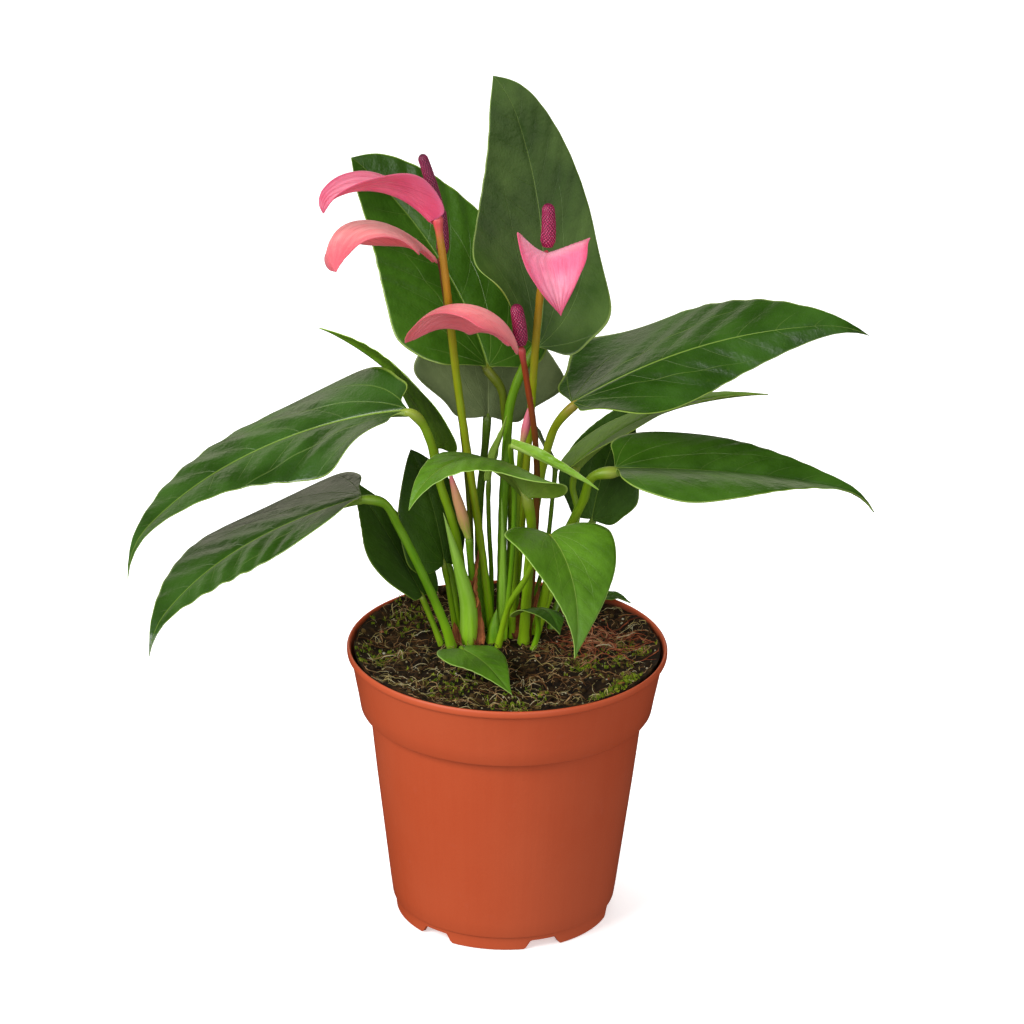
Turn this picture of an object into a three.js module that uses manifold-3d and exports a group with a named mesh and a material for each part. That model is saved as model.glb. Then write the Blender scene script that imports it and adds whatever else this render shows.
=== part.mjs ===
// A potted anthurium: a plastic nursery pot full of soil, and a plant of twenty leaves and four flowers.
// Units are millimetres, +Z is up, and the origin is on the pot's axis at the ground.
import * as THREE from 'three';
import { mergeVertices } from 'three/addons/utils/BufferGeometryUtils.js';
import Module from 'manifold-3d';

const wasm = await Module();
wasm.setup();

const GAP = 0.3; // air left between two pieces that touch

const radians = THREE.MathUtils.degToRad;
const vector = ([x, y, z]) => new THREE.Vector3(x, y, z);

const COLOURS = {
  pot: { color: '#b8512f', roughness: 0.55 },
  soil: { color: '#2c1d14', roughness: 1 },
  leaf: { color: '#2e5a22', roughness: 0.38 },
  youngLeaf: { color: '#5c9a35', roughness: 0.4 },
  stalk: { color: '#5f9423', roughness: 0.45 },
  oliveStalk: { color: '#8b8a2c', roughness: 0.45 },
  redStalk: { color: '#8a4224', roughness: 0.45 },
  spathe: { color: '#d9566f', roughness: 0.4 },
  spadix: { color: '#8e2852', roughness: 0.6 },
  sheath: { color: '#8fb558', roughness: 0.5 },
};

const plant = new THREE.Group();

/** Adds one named mesh, in a material of its own, to the plant. */
function add(name, geometry, finish) {
  const material = new THREE.MeshStandardMaterial({ ...COLOURS[finish], metalness: 0 });
  const mesh = new THREE.Mesh(geometry, material);
  mesh.name = name;
  plant.add(mesh);
}

// ---------------------------------------------------------------- solids

/** Turns a closed geometry into a solid that can be cut. */
function solidOf(geometry) {
  const bare = geometry.clone();
  bare.deleteAttribute('normal');
  bare.deleteAttribute('uv');
  const merged = mergeVertices(bare, 1e-4);
  return new wasm.Manifold(new wasm.Mesh({
    numProp: 3,
    vertProperties: new Float32Array(merged.attributes.position.array),
    triVerts: new Uint32Array(merged.index.array),
  }));
}

/** Turns a solid back into a geometry. */
function geometryOf(solid) {
  const mesh = solid.getMesh();
  const geometry = new THREE.BufferGeometry();
  geometry.setAttribute('position', new THREE.BufferAttribute(mesh.vertProperties, 3));
  geometry.setIndex(new THREE.BufferAttribute(mesh.triVerts, 1));
  geometry.computeVertexNormals();
  return geometry;
}

/** Revolves a profile of [radius, height] points about the pot's axis. */
function revolve(profile, segments) {
  const points = profile.map(([radius, height]) => new THREE.Vector2(radius, height));
  return new THREE.LatheGeometry(points, segments).rotateX(Math.PI / 2);
}

// ---------------------------------------------------------------- pot

const POT = {
  segments: 48,
  height: 107.5,
  rimRadius: 60,
  lipHeight: 3,
  collarTop: 58.6, // outer radius of the collar just under the lip
  collarFoot: 54.8, // outer radius of the collar at its lower edge
  collarBase: 83, // height of the collar's lower edge
  bodyTop: 51.5, // outer radius of the body under the collar
  bodyFoot: 42, // outer radius of the body above the foot ring
  footHeight: 5.5,
  footRadius: 41.2,
  footTuck: 0.5, // how much narrower the foot ring is at the ground
  wall: 1.3,
  floorHeight: 4.2, // underside of the floor
  floorThickness: 1.6,
};

const NOTCH = { count: 6, first: 22, halfAngle: 10, height: 3.6, chamfer: 2.6 };
const DRAIN = { count: 6, radius: 4, circle: 27 };

/** The pot's wall as one closed outline: up the outside, over the lip, down the inside. */
function potProfile() {
  const { height, rimRadius, lipHeight, wall } = POT;
  const lipFoot = height - lipHeight;
  const shelf = POT.collarBase + wall;
  const floorTop = POT.floorHeight + POT.floorThickness;
  return [
    [POT.footRadius - POT.footTuck, 0],
    [POT.footRadius, POT.footHeight],
    [POT.bodyFoot, POT.footHeight + 0.4],
    [POT.bodyTop, POT.collarBase - 0.5],
    [POT.bodyTop + 0.6, POT.collarBase],
    [POT.collarFoot - 0.6, POT.collarBase],
    [POT.collarFoot, POT.collarBase + 0.6],
    [POT.collarTop, lipFoot],
    [rimRadius, lipFoot + 0.3],
    [rimRadius, height - 0.5],
    [rimRadius - 0.5, height],
    [rimRadius - wall - 0.8, height],
    [POT.collarTop - wall, lipFoot],
    [POT.collarFoot - wall, shelf + 0.4],
    [POT.collarFoot - wall - 0.6, shelf],
    [POT.bodyTop - wall, shelf - 0.4],
    [POT.bodyFoot - wall, floorTop],
    [0, floorTop],
    [0, POT.floorHeight],
    [POT.footRadius - POT.footTuck - wall - 0.1, POT.floorHeight],
    [POT.footRadius - POT.footTuck - wall - 0.1, 0],
  ];
}

/** One notch of the foot ring: a wedge with sloped ends, pointing away from the axis at an angle. */
function notchCutter(angle) {
  const reach = POT.footRadius + 4;
  const half = Math.tan(radians(NOTCH.halfAngle)) * POT.footRadius;
  const face = new THREE.Shape([
    new THREE.Vector2(-half, -1),
    new THREE.Vector2(half, -1),
    new THREE.Vector2(half, 0),
    new THREE.Vector2(half - NOTCH.chamfer, NOTCH.height),
    new THREE.Vector2(-half + NOTCH.chamfer, NOTCH.height),
    new THREE.Vector2(-half, 0),
  ]);
  const cutter = new THREE.ExtrudeGeometry(face, { depth: 10, bevelEnabled: false });
  cutter.rotateX(Math.PI / 2);
  cutter.translate(0, -reach + 10, 0);
  cutter.rotateZ(radians(angle));
  return solidOf(cutter);
}

function drainCutter(angle) {
  const cutter = new THREE.CylinderGeometry(DRAIN.radius, DRAIN.radius, 6, 16);
  cutter.rotateX(Math.PI / 2);
  cutter.translate(0, -DRAIN.circle, POT.floorHeight);
  cutter.rotateZ(radians(angle));
  return solidOf(cutter);
}

function addPot() {
  let pot = solidOf(revolve([...potProfile(), potProfile()[0]], POT.segments));
  for (let i = 0; i < NOTCH.count; i += 1) {
    pot = pot.subtract(notchCutter(NOTCH.first + (i * 360) / NOTCH.count));
  }
  for (let i = 0; i < DRAIN.count; i += 1) {
    pot = pot.subtract(drainCutter((i * 360) / DRAIN.count));
  }
  add('pot', geometryOf(pot), 'pot');
}

// ---------------------------------------------------------------- soil

const SOIL = { edge: 103, crown: 104.4, flat: 20 };

/** Height of the soil's top at a place: a low mound that falls to the pot's wall. */
function soilTop(x, y) {
  const radius = Math.hypot(x, y);
  const fall = THREE.MathUtils.clamp((radius - SOIL.flat) / (POT.collarFoot - SOIL.flat), 0, 1);
  return THREE.MathUtils.lerp(SOIL.crown, SOIL.edge, fall);
}

function addSoil() {
  const { wall } = POT;
  const floorTop = POT.floorHeight + POT.floorThickness + GAP;
  const shelf = POT.collarBase + wall;
  const lipFoot = POT.height - POT.lipHeight;
  const climb = (SOIL.edge - shelf) / (lipFoot - shelf);
  const edgeRadius = THREE.MathUtils.lerp(POT.collarFoot, POT.collarTop, climb) - wall;
  const profile = [
    [0, floorTop],
    [POT.bodyFoot - wall - GAP, floorTop],
    [POT.bodyTop - wall - GAP, shelf],
    [POT.bodyTop - wall - GAP, shelf + 0.5],
    [POT.collarFoot - wall - 2, shelf + GAP],
    [POT.collarFoot - wall - GAP, shelf + 1],
    [edgeRadius - GAP, SOIL.edge],
    [SOIL.flat, SOIL.crown],
    [0, SOIL.crown],
  ];
  add('soil', revolve(profile, POT.segments), 'soil');
}

// ---------------------------------------------------------------- stalks

/** A round closed solid along a curve, with a radius that changes from its top (0) to its foot (1). */
function rod(points, radiusAt, sides, segments) {
  const curve = new THREE.CatmullRomCurve3(points, false, 'catmullrom', 0.5);
  const frames = curve.computeFrenetFrames(segments, false);
  const geometry = new THREE.CylinderGeometry(1, 1, 1, sides, segments);
  const { position } = geometry.attributes;
  const place = new THREE.Vector3();
  for (let i = 0; i < position.count; i += 1) {
    const row = Math.round((position.getY(i) + 0.5) * segments);
    const radius = radiusAt(row / segments);
    curve.getPointAt(row / segments, place);
    place.addScaledVector(frames.binormals[row], position.getX(i) * radius);
    place.addScaledVector(frames.normals[row], position.getZ(i) * radius);
    position.setXYZ(i, place.x, place.y, place.z);
  }
  return geometry;
}

/** Moves a rod's last point up until its slanted end face clears the soil. */
function standOnSoil(points, radius) {
  const foot = points.at(-1);
  const lean = points.at(-2).clone().sub(foot).normalize();
  foot.z = soilTop(foot.x, foot.y) + GAP + radius * Math.hypot(lean.x, lean.y);
  return points;
}

const STALK_SIDES = 8;

/** The stalk of a leaf or flower, from just under its joint down to the soil. */
function stalkGeometry(joint, route, radius) {
  const points = route.map(vector);
  const arrival = joint.clone().sub(points[0]).normalize();
  const top = joint.clone().addScaledVector(arrival, -(0.6 * radius + GAP + 0.5));
  standOnSoil(points, radius);
  return rod([top, ...points], () => radius, STALK_SIDES, 2 * points.length + 2);
}

// ---------------------------------------------------------------- blades

// A blade is a leaf or a spathe. It starts at its joint, heads off at a compass angle (0 is +X, 90 is +Y)
// and rises or falls at a slope. Along its length it droops, sweeps to its left and twists, and roll
// lifts its right side at the start. Each half folds up from the midrib, cup bends it further towards
// the margin, and lift raises the part beside the joint. The outline reaches back past the joint by
// lobe and is widest at widest, both as shares of the length; shoulder is its width close to the joint,
// a high taper gives a slim tip, a positive skew makes the right half the wider one, and hook bends the
// tip further down.
const LEAVES = [
  {
    name: 'tall', at: [9.7, 13, 222], length: 105.8, width: 63.4,
    heading: 77.5, rise: 49.7, droop: -20.7, sweep: 60, roll: -48.4, twist: -0.8,
    fold: -2, cup: 0.09, lift: 0.87, lobe: 0, widest: 0.17, shoulder: 0.67, skew: -0.17, taper: 0.55,
    hook: 27,
    stalk: [[3.5, 13.5, 211.5], [-0.5, 14, 198], [-1.5, 14.5, 182], [-2.5, 15.5, 155], [-2.5, 17.5, 104]],
    stalkRadius: 1.7,
  },
  {
    name: 'back_left', at: [-8.7, 17, 212.4], length: 97.6, width: 65.8,
    heading: 106.8, rise: 34.3, droop: -31.7, sweep: 57.4, roll: -11.4, twist: 8.5,
    fold: 12.3, cup: -0.12, lift: -0.11, lobe: 0.01, widest: 0.18, shoulder: 0.83, skew: -0.07, taper: 0.54,
    hook: 5,
    stalk: [[-4, 17.5, 203.5], [-2, 18.5, 190.5], [-0.5, 19.5, 174], [1, 21, 149], [-1, 24, 104]],
    stalkRadius: 1.7,
  },
  {
    name: 'behind', at: [-8.5, 25, 189.5], length: 53, width: 59,
    heading: 91, rise: 52, droop: 21, sweep: -3, roll: -16, twist: 3,
    fold: 11, cup: -0.11, lift: -0.35, lobe: 0.03, widest: 0.26, shoulder: 0.6, skew: 0, taper: 0.9,
    stalk: [[-9.5, 24.5, 178], [-11, 23.5, 160], [-11.5, 22.5, 140], [-9.5, 21, 104]],
    stalkRadius: 1.5,
  },
  {
    name: 'right_upper', at: [22.4, 8, 202.4], length: 116.3, width: 67,
    heading: 20.9, rise: 24.2, droop: 8.3, sweep: -40.7, roll: 5.6, twist: -45.3,
    fold: -12.3, cup: -0.08, lift: 0.6, lobe: 0, widest: 0.16, shoulder: 0.56, skew: -0.22, taper: 1.07,
    hook: 50,
    stalk: [[16.5, 9.5, 192], [13, 11, 179.5], [10.5, 13.5, 164.5], [8.5, 16.5, 143], [5.5, 22, 104]],
    stalkRadius: 1.6,
  },
  {
    name: 'right_lower', at: [38.65, -5, 181.8], length: 100.7, width: 56.8,
    heading: 7.2, rise: 0, droop: 13.2, sweep: -11, roll: -5.1, twist: -4.1,
    fold: 25.2, cup: -0.29, lift: 0.03, lobe: 0, widest: 0.22, shoulder: 0.86, skew: 0.23, taper: 1.13,
    hook: 46.4,
    stalk: [[30.5, -4, 177.5], [27, 0, 166], [23, 5, 154.8], [16.5, 10.5, 135.5], [10, 17, 104]],
    stalkRadius: 1.6,
  },
  {
    name: 'right_behind', at: [24.5, 29.5, 168.9], length: 81, width: 38,
    heading: 21, rise: 38, droop: 46, sweep: 9, roll: 21, twist: -7,
    fold: 11, cup: -0.1, lift: 0.1, lobe: 0.06, widest: 0.26, shoulder: 0.94, skew: 0.1, taper: 1,
    stalk: [[23.5, 29.5, 160], [25.5, 28, 149.6], [23, 24.5, 138], [18, 24, 124], [11, 24, 104]],
    stalkRadius: 1.2,
  },
  {
    name: 'right_upright', at: [31, 42.5, 140.8], length: 50, width: 41,
    heading: 64, rise: 72, droop: 24, sweep: -10, roll: 18, twist: -8,
    fold: 9, cup: -0.11, lift: -0.3, lobe: 0.01, widest: 0.22, shoulder: 0.7, skew: 0, taper: 0.86,
    stalk: [[26.5, 37, 132.5], [21.5, 28, 122.5], [15.5, 21, 104]],
    stalkRadius: 1.3,
  },
  {
    name: 'left_upper', at: [-41.8, -6, 202.5], length: 130.9, width: 60.8,
    heading: 152.3, rise: -13.7, droop: -7.4, sweep: 101.6, roll: 18.2, twist: 3.5,
    fold: 9.6, cup: -0.34, lift: 0.66, lobe: -0.03, widest: 0.17, shoulder: 0.52, skew: -0.05, taper: 1.3,
    hook: 37,
    stalk: [[-32, -4.5, 199], [-27.5, -2.5, 187.5], [-24, 0.5, 171.5], [-19.5, 4.5, 151.5], [-14, 14.5, 104]],
    stalkRadius: 1.6,
  },
  {
    name: 'left_lower', at: [-55.15, -14, 169.8], length: 104.2, width: 46.4,
    heading: 180.4, rise: -17.1, droop: 9.2, sweep: 67, roll: -8.2, twist: 33.9,
    fold: 5.8, cup: -0.15, lift: 0.29, lobe: -0.01, widest: 0.31, shoulder: 1.03, skew: 0.1, taper: 1.22,
    hook: 43,
    stalk: [[-42, -12, 164.5], [-37, -10, 155.5], [-28.5, -4, 131], [-19, 3, 104]],
    stalkRadius: 1.6,
  },
  {
    name: 'left_behind', at: [-27, 24, 177], length: 66, width: 39,
    heading: 154, rise: 72, droop: 54, sweep: -20, roll: -49, twist: 6,
    fold: 11, cup: -0.21, lift: 0.2, lobe: 0.02, widest: 0.26, shoulder: 0.94, skew: 0, taper: 1,
    stalk: [[-29, 26.5, 158.2], [-30.5, 27.5, 147.7], [-28, 26.5, 137.3], [-22.5, 23, 129.2], [-18.5, 19, 104]],
    stalkRadius: 1.2,
  },
  {
    name: 'low_left', at: [-31.5, 2, 126.5], length: 51, width: 40,
    heading: 141, rise: 51, droop: 2, sweep: 10, roll: -22, twist: 20,
    fold: 5, cup: -0.03, lift: 0.1, lobe: 0.02, widest: 0.32, shoulder: 0.94, skew: -0.2, taper: 1,
    stalk: [[-28.5, 3, 115.5], [-24, 4.5, 104]],
    stalkRadius: 1.1,
  },
  {
    name: 'inner_left', at: [-23.5, 9, 136.4], length: 45, width: 34,
    heading: 129, rise: 78, droop: 22, sweep: 7, roll: -12, twist: 15,
    fold: 2, cup: -0.09, lift: -0.2, lobe: 0.04, widest: 0.35, shoulder: 0.94, skew: -0.1, taper: 0.7,
    stalk: [[-22.5, 11, 126], [-19, 14.5, 104]],
    stalkRadius: 1.1,
  },
  {
    name: 'front_arching', at: [7.5, -16, 174.3], length: 65, width: 46,
    heading: 166, rise: 63, droop: 132, sweep: 17, roll: -49, twist: 15,
    fold: 11, cup: -0.31, lift: 0.3, lobe: 0.03, widest: 0.19, shoulder: 0.94, skew: -0.2, taper: 1,
    stalk: [[10.4, -10.5, 161], [5.5, -4.5, 143], [3.5, 9.5, 104]],
    stalkRadius: 1.5,
  },
  {
    name: 'young', at: [2, -9.5, 189.7], length: 34, width: 11,
    heading: -17, rise: -13, droop: 4, sweep: 7, roll: 45, twist: 3,
    fold: 48, cup: -0.07, lift: 0.1, lobe: 0.02, widest: 0.3, shoulder: 0.7, skew: 0, taper: 0.8,
    stalk: [[1.5, 0, 172.5], [1.5, 4, 146], [-1.5, 9.5, 104]],
    stalkRadius: 1,
  },
  {
    name: 'front_right', at: [15, -24, 163], length: 55, width: 43,
    heading: -65, rise: -5, droop: 71, sweep: -5, roll: 5, twist: 18,
    fold: 11, cup: -0.03, lift: 0, lobe: 0.05, widest: 0.14, shoulder: 0.94, skew: 0, taper: 1.1,
    stalk: [[12, -21, 157], [6, -12, 139], [1, -5.5, 126], [-0.5, 5, 104]],
    stalkRadius: 1.2,
  },
  {
    name: 'front_small', at: [-16.5, -14, 112], length: 36, width: 24,
    heading: -60, rise: 12, droop: 40, sweep: 7, roll: 4, twist: -2,
    fold: 5, cup: -0.1, lift: 0, lobe: 0.06, widest: 0.24, shoulder: 0.94, skew: 0.1, taper: 1,
    stalk: [[-17, -11, 110.5], [-17.5, -6, 104]],
    stalkRadius: 0.9,
  },
  {
    name: 'curled', at: [11.5, -6, 125.5], length: 19, width: 21,
    heading: -53, rise: 16, droop: 60, sweep: 0, roll: 17, twist: 10,
    fold: 4, cup: -0.13, lift: -0.3, lobe: 0.06, widest: 0.2, shoulder: 0.94, skew: 0.3, taper: 1,
    stalk: [[11.2, -2, 119.5], [11.5, 1, 112.5], [9, 4, 104]],
    stalkRadius: 1,
  },
  {
    name: 'thin', at: [-8.5, 9, 170.5], length: 26, width: 11,
    heading: 20, rise: 76, droop: 5, sweep: 0, roll: 60, twist: 0,
    fold: 15, cup: 0, lift: 0, lobe: 0.02, widest: 0.35, shoulder: 0.94, skew: 0, taper: 1,
    stalk: [[-8, 9.5, 165], [-7.5, 12, 148.5], [-6.5, 15, 131], [-6, 19, 104]],
    stalkRadius: 0.9,
  },
  {
    name: 'pale_behind', at: [17.5, 27.5, 168.5], length: 24, width: 13,
    heading: 175, rise: 64, droop: 10, sweep: 0, roll: -10, twist: 0,
    fold: 6, cup: -0.05, lift: 0, lobe: 0.02, widest: 0.3, shoulder: 0.94, skew: 0, taper: 0.9,
    stalk: [[16, 27.5, 155], [13.5, 27, 130.5], [6.5, 27.5, 104]],
    stalkRadius: 0.9,
  },
  {
    name: 'rim', at: [36, 44, 108], length: 12, width: 7,
    heading: -15, rise: 25, droop: 60, sweep: 0, roll: 0, twist: 0,
    fold: 10, cup: -0.1, lift: 0, lobe: 0.02, widest: 0.3, shoulder: 0.94, skew: 0, taper: 1,
  },
];

const RIB_STEPS = 24;
const HOOK_STEPS = 4; // steps at the tip that the hook bends

/** The midrib as places and attitudes: local X points right, Y along the midrib and Z off the face. */
function midrib(blade) {
  const start = new THREE.Euler(
    radians(blade.rise), -radians(blade.roll), radians(blade.heading - 90), 'ZXY',
  );
  const turn = new THREE.Vector3(-blade.droop, -blade.twist, blade.sweep);
  turn.multiplyScalar(radians(1 / RIB_STEPS));
  const curl = new THREE.Vector3(radians(-(blade.hook ?? 0) / HOOK_STEPS), 0, 0);
  const places = [vector(blade.at)];
  const attitudes = [new THREE.Quaternion().setFromEuler(start)];
  for (let i = 0; i < RIB_STEPS; i += 1) {
    if (i === RIB_STEPS - HOOK_STEPS) turn.add(curl);
    const step = new THREE.Quaternion().setFromAxisAngle(turn.clone().normalize(), turn.length());
    const halfStep = new THREE.Quaternion().slerp(step, 0.5);
    const along = new THREE.Vector3(0, blade.length / RIB_STEPS, 0);
    along.applyQuaternion(attitudes[i].clone().multiply(halfStep));
    places.push(places[i].clone().add(along));
    attitudes.push(attitudes[i].clone().multiply(step));
  }
  return { places, attitudes };
}

/** The margin from the joint round the lobe to the tip, as [share of length, share of half width]. */
function marginOf({ lobe, widest, shoulder, taper }) {
  const rest = 1 - widest;
  return new THREE.SplineCurve([
    [0, 0],
    [-lobe, 0.32 * shoulder],
    [-0.8 * lobe, 0.7 * shoulder],
    [0.3 * widest, shoulder],
    [widest, 1],
    [widest + 0.26 * rest, 0.86 ** taper],
    [widest + 0.51 * rest, 0.58 ** taper],
    [widest + 0.74 * rest, 0.28 ** taper],
    [widest + 0.9 * rest, 0.09 ** taper],
    [1, 0],
  ].map(([u, w]) => new THREE.Vector2(u, w)));
}

const BLADE = { across: 4, along: 10, thickness: 0.6, firstRow: 0.02, lastRow: 0.985 };
const LIFT_REACH = 0.4; // share of the length over which the lift beside the joint fades out

/** A blade's closed solid: a slab of rows and columns bent onto the midrib. */
function bladeGeometry(blade, { across, along } = BLADE) {
  const { places, attitudes } = midrib(blade);
  const margin = marginOf(blade);
  const slab = new THREE.BoxGeometry(2, 1, 1, across, along, 1);
  const { position } = slab.attributes;
  const edge = new THREE.Vector2();
  for (let i = 0; i < position.count; i += 1) {
    const side = position.getX(i);
    const row = THREE.MathUtils.lerp(BLADE.firstRow, BLADE.lastRow, position.getY(i) + 0.5);
    margin.getPoint(row, edge);
    const u = THREE.MathUtils.lerp(row ** 1.5, edge.x, side * side);
    const w = side * edge.y * (1 + blade.skew * Math.sign(side));
    const near = THREE.MathUtils.clamp(1 - u / LIFT_REACH, 0, 1.3);
    const half = blade.width / 2;
    const bend = blade.cup + blade.lift * near * near;
    const station = THREE.MathUtils.clamp(u, 0, 1) * RIB_STEPS;
    const from = Math.min(Math.floor(station), RIB_STEPS - 1);
    const attitude = attitudes[from].clone().slerp(attitudes[from + 1], station - from);
    const offset = new THREE.Vector3(
      w * half * Math.cos(radians(blade.fold)),
      Math.min(u, 0) * blade.length,
      Math.abs(w) * half * Math.sin(radians(blade.fold)) + bend * half * w * w
        + position.getZ(i) * BLADE.thickness,
    );
    const place = places[from].clone().lerp(places[from + 1], station - from);
    place.add(offset.applyQuaternion(attitude));
    position.setXYZ(i, place.x, place.y, place.z);
  }
  return slab;
}

function addLeaf(leaf) {
  const finish = leaf.name === 'young' ? 'youngLeaf' : 'leaf';
  add(`leaf_${leaf.name}`, bladeGeometry(leaf), finish);
  if (leaf.stalk) {
    add(`stalk_${leaf.name}`, stalkGeometry(vector(leaf.at), leaf.stalk, leaf.stalkRadius), 'stalk');
  }
}

// ---------------------------------------------------------------- flowers

// A flower's stalk ends at its head. The spadix starts close to the head and runs to its tip along lean,
// and the spathe is a blade that starts beside the head.
const FLOWERS = [
  {
    name: 'top', head: [-27.78, -5.49, 276.4], stalkRadius: 1.3, finish: 'oliveStalk',
    stalk: [[-24, -4, 250], [-20.5, 2.5, 216], [-15.5, 5.5, 179.5], [-10.5, 9, 144], [-5.5, 12.5, 104]],
    spadix: { from: [1, 3.6, 0.6], lean: [-6.8, 0, 23.2], radius: 2.1 },
    spathe: {
      length: 49.6, width: 22.4, heading: 163.8, rise: 42.6, droop: 84.7, sweep: 30.1, roll: -56, twist: 42.3,
      fold: 27.9, cup: 0.17, lift: -0.07, lobe: 0.02, widest: 0.28, shoulder: 0.77, skew: -0.05, taper: 0.53,
      hook: 58.5,
    },
  },
  {
    name: 'second', head: [-26.32, 4.15, 259.3], stalkRadius: 1, finish: 'redStalk',
    stalk: [[-24, 5.5, 238.5], [-20.3, 8, 208], [-17, 13.5, 180], [-14.5, 18, 146], [-14, 23.5, 104]],
    spadix: { from: [1.2, 1.6, 1], lean: [-1, 2, 17], radius: 2.2 },
    spathe: {
      length: 77, width: 32, heading: 172, rise: 48, droop: 120.7, sweep: 44.7, roll: -40.3, twist: -39.9,
      fold: -23.2, cup: -0.24, lift: 0, lobe: 0.01, widest: 0.29, shoulder: 0.42, skew: -0.34, taper: 0.43,
      hook: 15.3,
    },
  },
  {
    name: 'middle', head: [3.65, -9.13, 230.2], stalkRadius: 1.1, finish: 'redStalk',
    stalk: [[6, -5.5, 212.5], [9, -1.5, 191], [10, 2.5, 165], [7.5, 12.5, 104]],
    spadix: { from: [1.2, 0, 1], lean: [-2.6, 1, 15.5], radius: 2.6 },
    spathe: {
      length: 53.9, width: 31.9, heading: 166.9, rise: 77.1, droop: 131.4, sweep: -81, roll: -39.8, twist: -28,
      fold: -12.7, cup: -0.45, lift: -0.02, lobe: 0, widest: 0.35, shoulder: 0.65, skew: -0.24, taper: 0.62,
      hook: -33.9,
    },
  },
  {
    name: 'right', head: [11.52, 1.95, 263.5], stalkRadius: 1.4, finish: 'oliveStalk',
    stalk: [[10, 4, 247.5], [8.5, 7.5, 224.5], [7.5, 11.5, 201], [6, 16, 175.5], [2, 28, 104]],
    spadix: { from: [0, 0.6, 1.2], lean: [-0.3, 1, 18], radius: 2.6 },
    spathe: {
      length: 30.6, width: 25.3, heading: -77.5, rise: 13.2, droop: 115.2, sweep: 5.7, roll: 9.9, twist: -28.2,
      fold: 9.3, cup: 0.25, lift: 0.12, lobe: 0.05, widest: 0.24, shoulder: 1.07, skew: -0.05, taper: 0.98,
      hook: -5.4,
    },
  },
];

const SPADIX = { sides: 10, segments: 8, tipShare: 0.72, neckShare: 0.8 };
const SPATHE_ROWS = { across: 6, along: 12 };

/** A spadix: a rod, slimmer at its neck and towards its rounded tip. The rod runs from tip to neck. */
function spadixGeometry(head, { from, lean, radius }) {
  const neck = head.clone().add(vector(from));
  const tip = neck.clone().add(vector(lean));
  const middle = neck.clone().lerp(tip, 0.5);
  const radiusAt = (t) => {
    const dome = Math.sqrt(Math.min(1, 0.06 + t * 7));
    const neckIn = t > 0.9 ? SPADIX.neckShare : 1;
    return radius * THREE.MathUtils.lerp(SPADIX.tipShare, 1, Math.min(1, t * 1.6)) * dome * neckIn;
  };
  return rod([tip, middle, neck], radiusAt, SPADIX.sides, SPADIX.segments);
}

function addFlower(flower) {
  const head = vector(flower.head);
  const angle = radians(flower.spathe.heading);
  const beside = flower.stalkRadius + GAP + 0.5;
  const at = [
    head.x + Math.cos(angle) * beside, head.y + Math.sin(angle) * beside, head.z,
  ];
  const below = head.clone().sub(vector(flower.stalk[0])).normalize();
  const joint = head.clone().addScaledVector(below, flower.stalkRadius + 0.5);
  add(`stalk_flower_${flower.name}`, stalkGeometry(joint, flower.stalk, flower.stalkRadius), flower.finish);
  add(`spathe_${flower.name}`, bladeGeometry({ ...flower.spathe, at }, SPATHE_ROWS), 'spathe');
  add(`spadix_${flower.name}`, spadixGeometry(head, flower.spadix), 'spadix');
}

// ---------------------------------------------------------------- buds and sheaths

// A bud is a young flower whose spathe is still rolled to a point, on its own stalk.
const BUDS = [
  {
    name: 'right', tip: [8, 1, 206.7], middle: [6, 0, 197.7], joint: [4, -1, 187.7], radius: 1.6,
    stalk: [[3, 2.5, 172], [2.5, 7.5, 148], [1.5, 14, 104]], stalkRadius: 1.1,
  },
  {
    name: 'left', tip: [-23, -1, 180], middle: [-19, 0, 165], joint: [-15, 2, 149], radius: 2,
    stalk: [[-13, 8, 126], [-9.5, 13.5, 104]], stalkRadius: 1.3,
  },
];

function addBud(bud) {
  const joint = vector(bud.joint);
  const swell = (t) => bud.radius * (0.12 + 0.88 * Math.sin(Math.PI * (0.04 + 0.8 * t)) ** 0.8);
  add(`bud_${bud.name}`, rod([vector(bud.tip), vector(bud.middle), joint], swell, STALK_SIDES, 8), 'spathe');
  add(`stalk_bud_${bud.name}`, stalkGeometry(joint, bud.stalk, bud.stalkRadius), 'stalk');
}

// A sheath is the pale leaf base that wraps new growth: pointed above and full at the soil.
const SHEATHS = [
  {
    name: 'large', radius: 3.3, power: 0.75,
    route: [[-24.5, -3, 162], [-21, 0, 148], [-17.8, 2, 135], [-15, 4.5, 121], [-14.8, 7.3, 104]],
  },
  { name: 'pale', radius: 1.4, power: 0.5, route: [[-3, 9.5, 163], [-2.3, 10.5, 146], [-2, 13.5, 104]] },
  { name: 'basal', radius: 2.8, power: 0.5, route: [[-4.2, 6.5, 119], [-4.8, 6.8, 112], [-5.3, 7.2, 104]] },
];

function addSheath({ name, route, radius, power }) {
  const points = standOnSoil(route.map(vector), radius);
  const widen = (t) => radius * Math.max(0.12, t ** power * (1 - 0.12 * t));
  add(`sheath_${name}`, rod(points, widen, STALK_SIDES, 10), 'sheath');
}

// ---------------------------------------------------------------- assembly

addPot();
addSoil();
LEAVES.forEach(addLeaf);
FLOWERS.forEach(addFlower);
BUDS.forEach(addBud);
SHEATHS.forEach(addSheath);

export default plant;
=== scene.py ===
"""Potted anthurium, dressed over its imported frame.

The leaves, flowers, stalks, soil and pot are built here as fine surfaces that stand for the frame's
plain solids. Lengths are metres and angles are degrees unless a name says otherwise.
"""

from __future__ import annotations

import logging
import math
import random
from dataclasses import dataclass, field
from enum import Enum
from typing import Any, ClassVar, Sequence

import bmesh
import bpy
import numpy as np
from mathutils import Matrix, Vector, noise

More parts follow.
